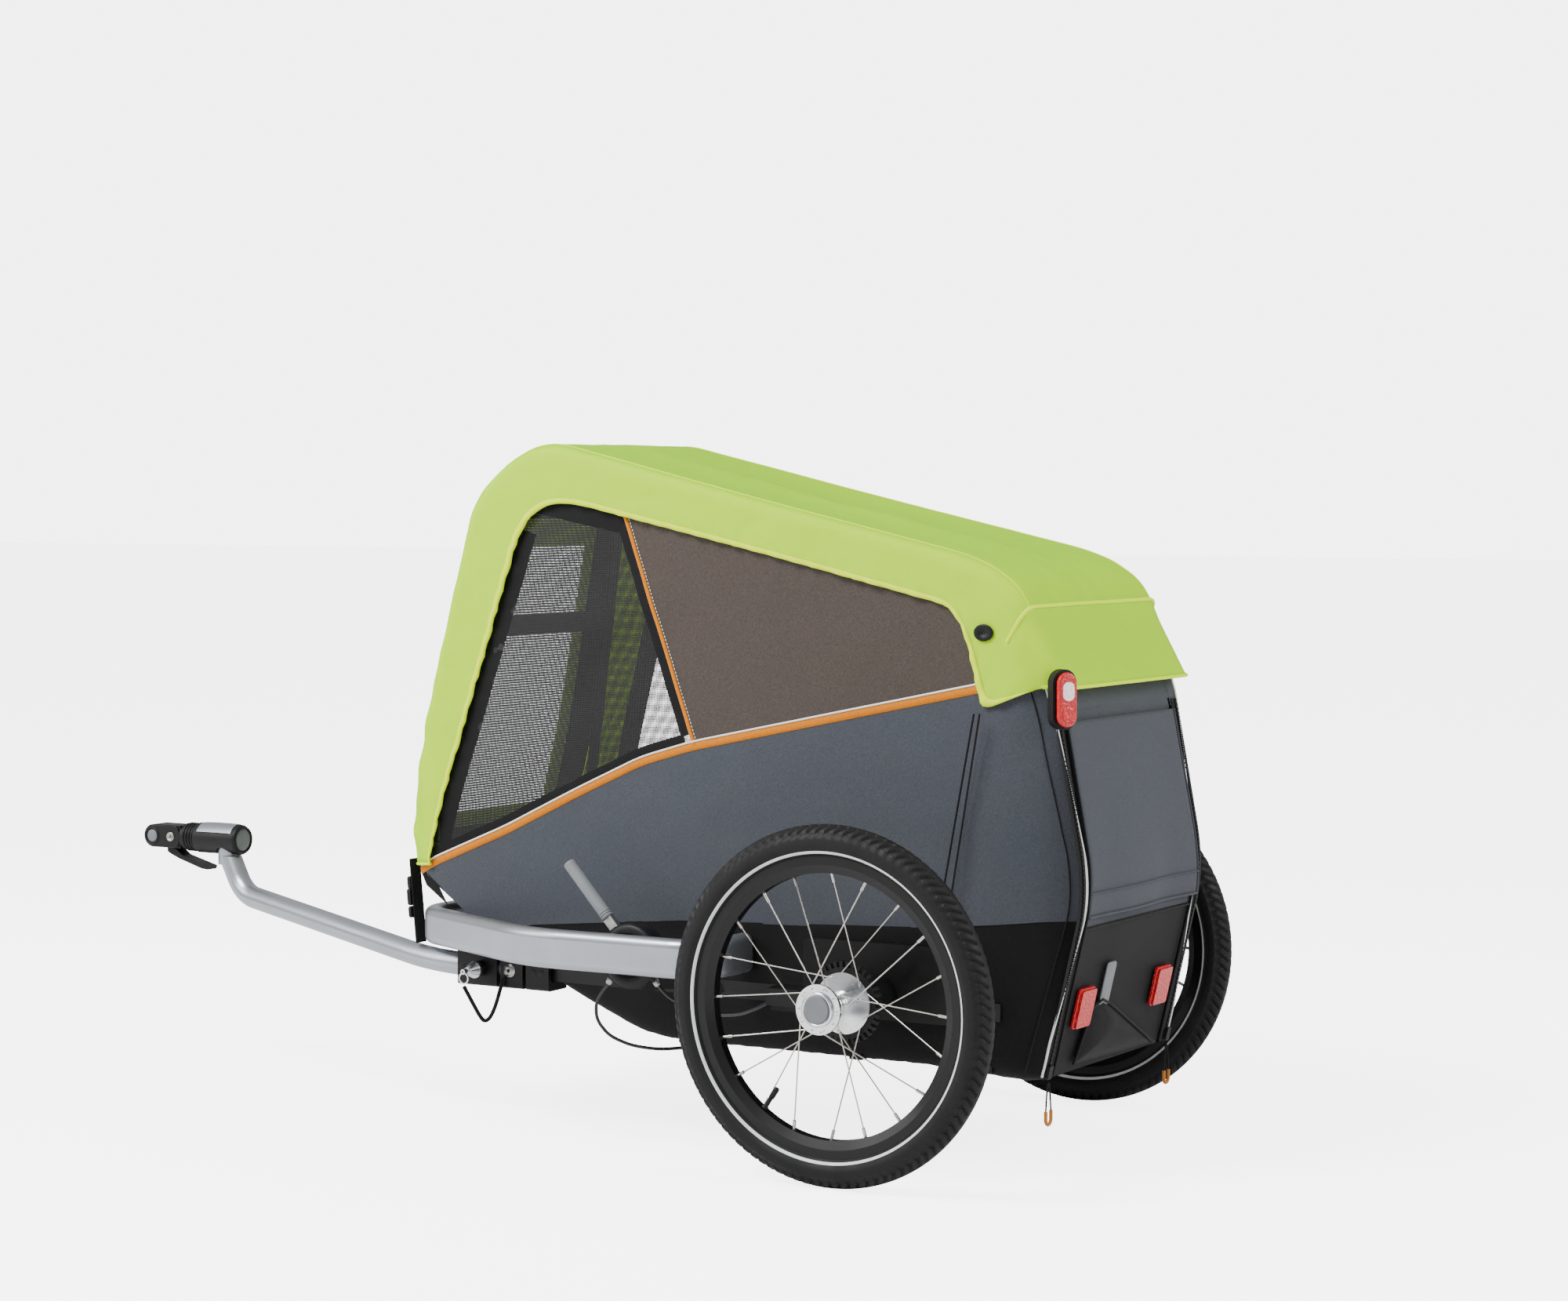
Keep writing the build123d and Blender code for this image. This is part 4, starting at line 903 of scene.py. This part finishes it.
# Wheels
tyre = {"middle": 228.5, "half": 23.5, "shoulder": 58, "bead": 148}
tread = {"pitches": 104, "steps": 7, "depth": 2.6, "slant": 0.5, "groove": 0.3}
stripeRadii = (212.6, 213.2, 215.8, 216.4)
spokeHeads = {"count": 20, "radius": 1.8, "outer": (30, 35.2), "inner": (38, -37.3)}
# the valve's rings run from the rim towards the hub as (distance from the hub, radius)
valveRings = ((184.8, 0.1), (184.8, 5.2), (182, 5.2), (181, 3.4), (166, 3.0), (165, 4.1), (150, 4.0),
              (148.5, 3.0), (148.2, 0.1))
for name, side in sides:
    centre = Vector((axleX / mm, side * wheelY, axleZ))
    body = name + "_wheel"
    turns = tread["pitches"] * tread["steps"]
    angles = [tyre["bead"] * (i / 20 - 1) for i in range(41)]
    points = []
    for i in range(turns):
        turn = 2 * math.pi * i / turns
        for lean in angles:
            phi = math.radians(lean)
            reach = tyre["half"]
            over = abs(lean)
            phase = (i / tread["steps"] + over / 30 * tread["slant"]) % 1.0
            if over < tyre["shoulder"]:
                cut = 1.0 if phase < tread["groove"] and over > 9 else 0.0
                if 9 < over < 14 or (30 < over < 35 and (i // tread["steps"]) % 2):
                    cut = 1.0
                reach -= cut * tread["depth"]
            elif over < 72:
                reach -= 1.2 + (0.8 if phase < 0.5 else 0.0)
            elif 96 < over < 104:
                reach += 0.5
            radius = tyre["middle"] + reach * math.cos(phi)
            points.append((centre + Vector((radius * math.cos(turn), side * reach * math.sin(phi),
                                            radius * math.sin(turn)))) * mm)
    makePiece(name + "TyreCasing", points, gridFaces(turns, 41, ring=True), [tyreRubber], body, "tyre_rubber",
              (name + "_tyre",)).data.set_sharp_from_angle(angle=math.radians(32))
    for mark, sign in (("Outer", 1), ("Inner", -1)):
        stripe = []
        for radius in stripeRadii:
            proud = 0.15 if radius in (stripeRadii[0], stripeRadii[-1]) else 0.5
            lift = math.sqrt(tyre["half"] ** 2 - (radius - tyre["middle"]) ** 2) + proud
            stripe.append((radius, sign * lift))
        makePiece(name + mark + "Stripe", *lathe(stripe, centre, side, 180), [reflectiveTape], body,
                  "tyre_rubber")
    headParts = []
    for index in range(spokeHeads["count"]):
        angle = 2 * math.pi * index / spokeHeads["count"]
        facing = 1 if index % 2 == 0 else -1
        radius, out = spokeHeads["outer" if facing == 1 else "inner"]
        size = spokeHeads["radius"]
        spot = centre + Vector((radius * math.cos(angle), side * out, radius * math.sin(angle)))
        headParts.append(lathe([(0.05, 0.9 * facing), (size * 0.8, 0.6 * facing), (size, 0),
                                (size, -0.8 * facing)], spot, side, 10))
    makePiece(name + "SpokeHeads", *merge(headParts), [spokeSteel], body, "spoke_steel")
    hubProfile = [(24.2, 36.0), (24.2, 38.6), (22.4, 39.0), (20.1, 38.7), (20.1, 36.0)]
    makePiece(name + "HubCapRing", *lathe(hubProfile, centre, side, 72), [hubAlloy], body, "polished_alloy")
    for mark, out in (("Middle", -6), ("Inner", -22)):
        collar = [(13.2, out - 5), (15.4, out - 4.4), (15.9, out), (15.4, out + 4.4), (13.2, out + 5)]
        makePiece(name + "Hub" + mark + "Collar", *lathe(collar, centre, side, 48), [hubAlloy], body,
                  "polished_alloy")
    # valve with its cap
    aim = Vector((0.577, 0, -0.817))
    across = Vector((0, 1, 0))
    third = aim.cross(across)
    valve = []
    for distance, radius in valveRings:
        for i in range(16):
            turn = 2 * math.pi * i / 16
            valve.append(
                (centre + aim * distance + (across * math.cos(turn) + third * math.sin(turn)) * radius) * mm)
    makePiece(name + "Valve", valve, bandFaces(len(valveRings), 16), [blackNylon], body, "tyre_rubber")
print("wheels done")

# Small pieces on the frame, the lever and the hitch
def block(name, origin, normal, across, width, height, depth, radius, soften, mat, body, slotName, stands=()):
    points, faces = prism(roundOutline(width, height, radius), normal, across, origin, depth, soften)
    return makePiece(name, points, faces, [mat], body, slotName, stands, smooth=False)


def disc(name, origin, normal, radii, mat, body, slotName):
    # stacked rings of (radius, rise) turned round the normal
    up = Vector(normal).normalized()
    right = up.orthogonal().normalized()
    side = up.cross(right)
    points = []
    for i in range(40):
        angle = 2 * math.pi * i / 40
        for radius, rise in radii:
            points.append(origin + (right * math.cos(angle) * radius + side * math.sin(angle) * radius + up
                                    * rise) * mm)
    return makePiece(name, points, gridFaces(40, len(radii), ring=True), [mat], body, slotName)


hitch = {"height": 384, "offset": 80, "yoke": 1308, "stud": 1486, "key": 1446,
         "rings": (1400, 1406, 1412, 1418)}


def hitchAt(x, out=0.0):
    # a point on the hitch's own line, or beside it towards the left
    return at(x, hitch["offset"] + out, hitch["height"])


disc("yokeCap", hitchAt(hitch["yoke"] - 0.5), (-1, 0, 0), ((0.2, 1.6), (15, 1.6), (17.5, 0.8), (18.5, 0)),
     greyNylon, "yoke", "grey_plastic")
disc("yokeCapRing", hitchAt(hitch["yoke"]), (-1, 0, 0), ((18.5, 0), (19, 2.6), (22.5, 2.2), (24.6, -2), (
    25.2, -9), (24.8, -12)), blackNylon, "yoke", "black_plastic")
plate = []
for i in range(24):
    x = 1316 + 72 * i / 23
    for angle in range(28, 153, 8):
        lift = 25.8 + 0.9 * math.sin(math.pi * i / 23) ** 0.5
        lean = math.radians(angle)
        plate.append(hitchAt(x, lift * math.cos(lean)) + Vector((0, 0, lift * math.sin(lean) * mm)))
makePiece("yokePlate", plate, gridFaces(24, 16), [satinSilver], "yoke", "satin_alloy")
for index, x in enumerate(hitch["rings"]):
    disc(f"knuckleRing{index}", hitchAt(x), (1, 0, 0), ((22, -1.8), (23.6, -1.4), (24, 0), (23.6, 1.4),
                                                        (22, 1.8)), blackNylon, "coupler", "black_plastic")
# the coupler's face: a half round about the stud, drawn about x = 1460, and a flatter round at its other end
faceRadius = 18.4
faceOutline = []
for i in range(25):
    angle = math.radians(-90 + 180 * i / 24)
    faceOutline.append((26 + faceRadius * math.cos(angle), faceRadius * math.sin(angle)))
for i in range(9):
    angle = math.radians(90 + 180 * i / 8)
    faceOutline.append((-24 + faceRadius * math.cos(angle) * 0.5, faceRadius * math.sin(angle)))
faceMesh = prism(faceOutline, (0, 1, 0), (1, 0, 0), hitchAt(1460, 17.5), 3.4, 2.2)
makePiece("couplerFace", *faceMesh, [blackNylon], "coupler", "black_plastic", smooth=False)
disc("buttonCollar", hitchAt(hitch["stud"], 18), (0, 1, 0),
     ((11.9, 0), (12, 4.2), (13.5, 4.6), (15, 3.8), (15.3, 2.6)), blackNylon, "coupler", "black_plastic")
disc("buttonFace", hitchAt(hitch["stud"], 19.4), (0, 1, 0), ((0.2, 2.4), (8, 2.2), (10.6, 1.4), (11.3, 0)),
     greyNylon, "coupler_button", "grey_plastic")
disc("keyLock", hitchAt(hitch["key"], 18), (0, 1, 0), ((0.2, 3.6), (5.2, 3.6), (5.8, 4.6), (7.4, 4.6),
                                                       (7.8, 3)), zincSteel, "coupler", "zinc_steel")
block("keySlot", hitchAt(hitch["key"], 21.2), (0, 1, 0), (0, 0, 1), 6, 1.4, 0.8, 0.6, 0.2, blackNylon,
      "coupler", "black_plastic")

lever = {"x": 374, "y": 317, "z": 287, "angle": 47.8, "rings": (72, 76, 80)}
disc("drumFace", at(lever["x"], lever["y"] + 16.6, lever["z"]), (0, 1, 0),
     ((0.2, 2.2), (9, 2.2), (10, 3.4), (16, 3.4), (17, 1.2), (30, 1.6), (31, 3), (40, 2.8), (44, 1.6),
      (46.5, 0)), blackNylon, "root", "black_plastic")
disc("drumBolt", at(lever["x"], lever["y"] + 19.4, lever["z"]), (0, 1, 0),
     ((0.2, 1.8), (3.2, 1.8), (3.4, 3.4), (6.4, 3.2), (7, 0)), zincSteel, "root", "zinc_steel")
for index, (x, z, aimX) in enumerate(((421, 246, 0.5), (335, 249, -0.5))):
    disc(f"cableAdjuster{index}", at(x - aimX * 10, lever["y"] - 1, z + 6), (aimX, 0, -0.86),
         ((2.6, 12), (4.4, 11), (5.6, 8), (5.6, 1), (4.2, 0), (4.2, -6)), zincSteel, "root", "zinc_steel")
disc("bracketBolt", at(648, 247.4, 236), (0, 1, 0), ((0.2, 3.4), (5.6, 3.4), (6.4, 2.6), (6.6, 1.2), (10, 1),
                                                     (10.2, 0)), zincSteel, "root", "zinc_steel")
disc("bracketBoltSocket", at(648, 250.9, 236), (0, 1, 0), ((0.2, 0.1), (3, 0.1), (3.2, 0)), blackNylon,
     "root", "black_plastic")
for index, x in enumerate((590, 604, 736)):
    disc(f"bracketRib{index}", at(x, 247.4, 236), (0, 1, 0), ((0.2, 0.6), (5, 0.8), (6, 0.2)), blackNylon,
         "root", "black_plastic")

leverWay = Vector((math.cos(math.radians(lever["angle"])), 0, math.sin(math.radians(lever["angle"]))))
leverFoot = Vector((lever["x"], lever["y"], lever["z"]))
for index, distance in enumerate(lever["rings"]):
    spot = leverFoot + leverWay * distance
    disc(f"gripRing{index}", at(*spot), leverWay, ((9.2, -1.2), (10.0, -0.8), (10.0, 0.8), (9.2, 1.2)),
         gripRubber, "lever", "grip_grey")

# x, z, width, height, depth and edge of each part of the front strap's buckle
buckleParts = (("Body", 850, 333, 30, 26, 7.5, 2), ("Tongue", 852, 355, 26, 20, 6.5, 2),
               ("Loop", 848, 310, 32, 18, 6, 1.5))
for name, side in sides:
    # the buckle and the three-cornered patch that the strap pulls on
    for mark, x, z, width, height, depth, soften in buckleParts:
        block(name + "Buckle" + mark, at(x, side * 212, z), (0.9957, 0, -0.092), (0, 1, 0), width, height,
              depth, 4, soften, blackNylon, "root", "black_plastic", ("strap_buckles",)
              if name + mark == "leftBody" else ())
    patch = []
    for i in range(10):
        share = i / 9
        a = Vector((822 - 40 * share, side * (222 - 4 * share), 396 - 72 * share))
        b = Vector((846 - 18 * share, side * (214 - 2 * share), 392 - 40 * share))
        for j in range(6):
            p = a.lerp(b, j / 5)
            patch.append(at(p.x, p.y + side * 3, p.z))
    makePiece(name + "StrapPatch", patch, gridFaces(10, 6), [webbing], "root", "black_webbing")
    # reflector frames, on the slope of the door's lower half
    share = (236 - 137) / 243
    block(name + "ReflectorRim", at(-230 - 57 * share, side * 128, 236), (-0.9736, 0, -0.2284), (0, -1, 0),
          49, 59, 4.0, 5, 1.2, redLens, "door", "red_reflector")

lightOut = Vector((-0.85, 0.53, 0)).normalized()
lightSpot = at(-256, 208, 674) + lightOut * 24 * mm
for mark, rise, height, mat in (("Clear", 12, 26, clearLens), ("Low", -20, 22, redPrism)):
    block("tailLight" + mark, lightSpot + Vector((0, 0, rise * mm)), lightOut, (0, 0, 1), height, 18, 1.6, 8,
          0.8, mat, "root", "red_lens")
print("small pieces done")

# Finishes of the CAD pieces that stay
finishes = {"bumper_frame": satinSilver, "drawbar": satinSilver, "floor_frame": frameBlack,
            "crossbars": frameBlack, "crossbar_foam": foamSleeve, "left_hoop": frameBlack,
            "right_hoop": frameBlack, "front_straps": webbing, "tail_light_housing": blackNylon,
            "tail_light_lens": redLens, "reflectors": redPrism, "brake_lever": zincSteel,
            "lever_grip": gripRubber, "lever_housing": blackNylon, "near_brake_cable": cableSheath,
            "far_brake_cable": cableSheath, "drawbar_bracket": blackNylon, "lock_pin": hubAlloy,
            "hitch_yoke": blackNylon, "hitch_knuckle": blackNylon, "coupler_body": blackNylon,
            "coupler_button": greyNylon, "release_lever": blackNylon, }
for name, side in sides:
    finishes.update({name + "_rim": rimBlack, name + "_spokes": spokeSteel, name + "_hub": hubAlloy, name
                     + "_hub_button": greyNylon, name + "_brake_ring": blackNylon, name + "_axle": zincSteel,
                     name + "_brake_unit": blackNylon, name + "_brake_pin": zincSteel,
                     name + "_zip_slider": blackNylon, name + "_pull_grip": ochreNylon})
for node, mat in finishes.items():
    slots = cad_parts[node].material_slots
    if slots:
        for slot in slots:
            slot.link = "OBJECT"
            slot.material = mat
    else:
        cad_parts[node].data.materials.append(mat)

# Floor, light and camera
studio = {"floor": "#F4F4F4", "sky": 0.62, "backdrop": 5.4, "glow": 4.3, "key": 420, "fill": 110, "rear": 150}
floorMesh = bpy.data.meshes.new("studioFloor")
floorMesh.from_pydata([(-40, -40, 0), (40, -40, 0), (40, 40, 0), (-40, 40, 0)], [], [(0, 1, 2, 3)])
floor = bpy.data.objects.new("studioFloor", floorMesh)
bpy.context.scene.collection.objects.link(floor)
floorMat = blankMaterial("litStudioFloor")
floorFace = addNode(floorMat, "ShaderNodeBsdfDiffuse", {"Color": paint(studio["floor"])})
floorSeen = addNode(floorMat, "ShaderNodeLightPath")
lit = addNode(floorMat, "ShaderNodeMath", {"operation": "MULTIPLY", 1: studio["glow"]},
              {0: floorSeen.outputs["Is Camera Ray"]})
shine = addNode(floorMat, "ShaderNodeEmission", {}, {"Strength": lit.outputs[0]})
both = addNode(floorMat, "ShaderNodeAddShader", {}, {0: floorFace.outputs[0], 1: shine.outputs[0]})
floorMesh.materials.append(finishMaterial(floorMat, both.outputs[0]))

world = bpy.data.worlds.new("studioSky")
bpy.context.scene.world = world
world.use_nodes = True
world.node_tree.nodes["Background"].inputs[0].default_value = (1, 1, 1, 1)
skySeen = addNode(world, "ShaderNodeLightPath")
glow = addNode(world, "ShaderNodeMapRange", {"To Min": studio["sky"], "To Max": studio["backdrop"]},
               {"Value": skySeen.outputs["Is Camera Ray"]})
world.node_tree.links.new(glow.outputs[0], world.node_tree.nodes["Background"].inputs[1])


def softLight(name, place, aim, size, power):
    data = bpy.data.lights.new(name, "AREA")
    data.shape = "RECTANGLE"
    data.size = size[0]
    data.size_y = size[1]
    data.energy = power
    lamp = bpy.data.objects.new(name, data)
    lamp.location = place
    lamp.rotation_euler = (Vector(aim) - Vector(place)).to_track_quat("-Z", "Y").to_euler()
    bpy.context.scene.collection.objects.link(lamp)


softLight("keyLight", (1.4, 3.0, 4.4), (-0.2, 0, 0.4), (2.4, 2.0), studio["key"])
softLight("fillLight", (4.0, 3.0, 2.6), (0, 0, 0.5), (2.4, 2.4), studio["fill"])
softLight("rearLight", (-4.2, -0.6, 2.4), (-0.6, 0, 0.5), (2.0, 2.0), studio["rear"])

lens = {"place": (-2.943, 4.409, 0.965), "heading": -59.01, "pitch": -2.74, "length": 77.9}
cameraData = bpy.data.cameras.new("studioCamera")
cameraData.lens = lens["length"]
cameraData.sensor_width = 36
camera = bpy.data.objects.new("studioCamera", cameraData)
camera.location = lens["place"]
camera.rotation_euler = (math.radians(90 + lens["pitch"]), 0, math.radians(lens["heading"] - 90))
bpy.context.scene.collection.objects.link(camera)
bpy.context.scene.camera = camera

print("scene done")
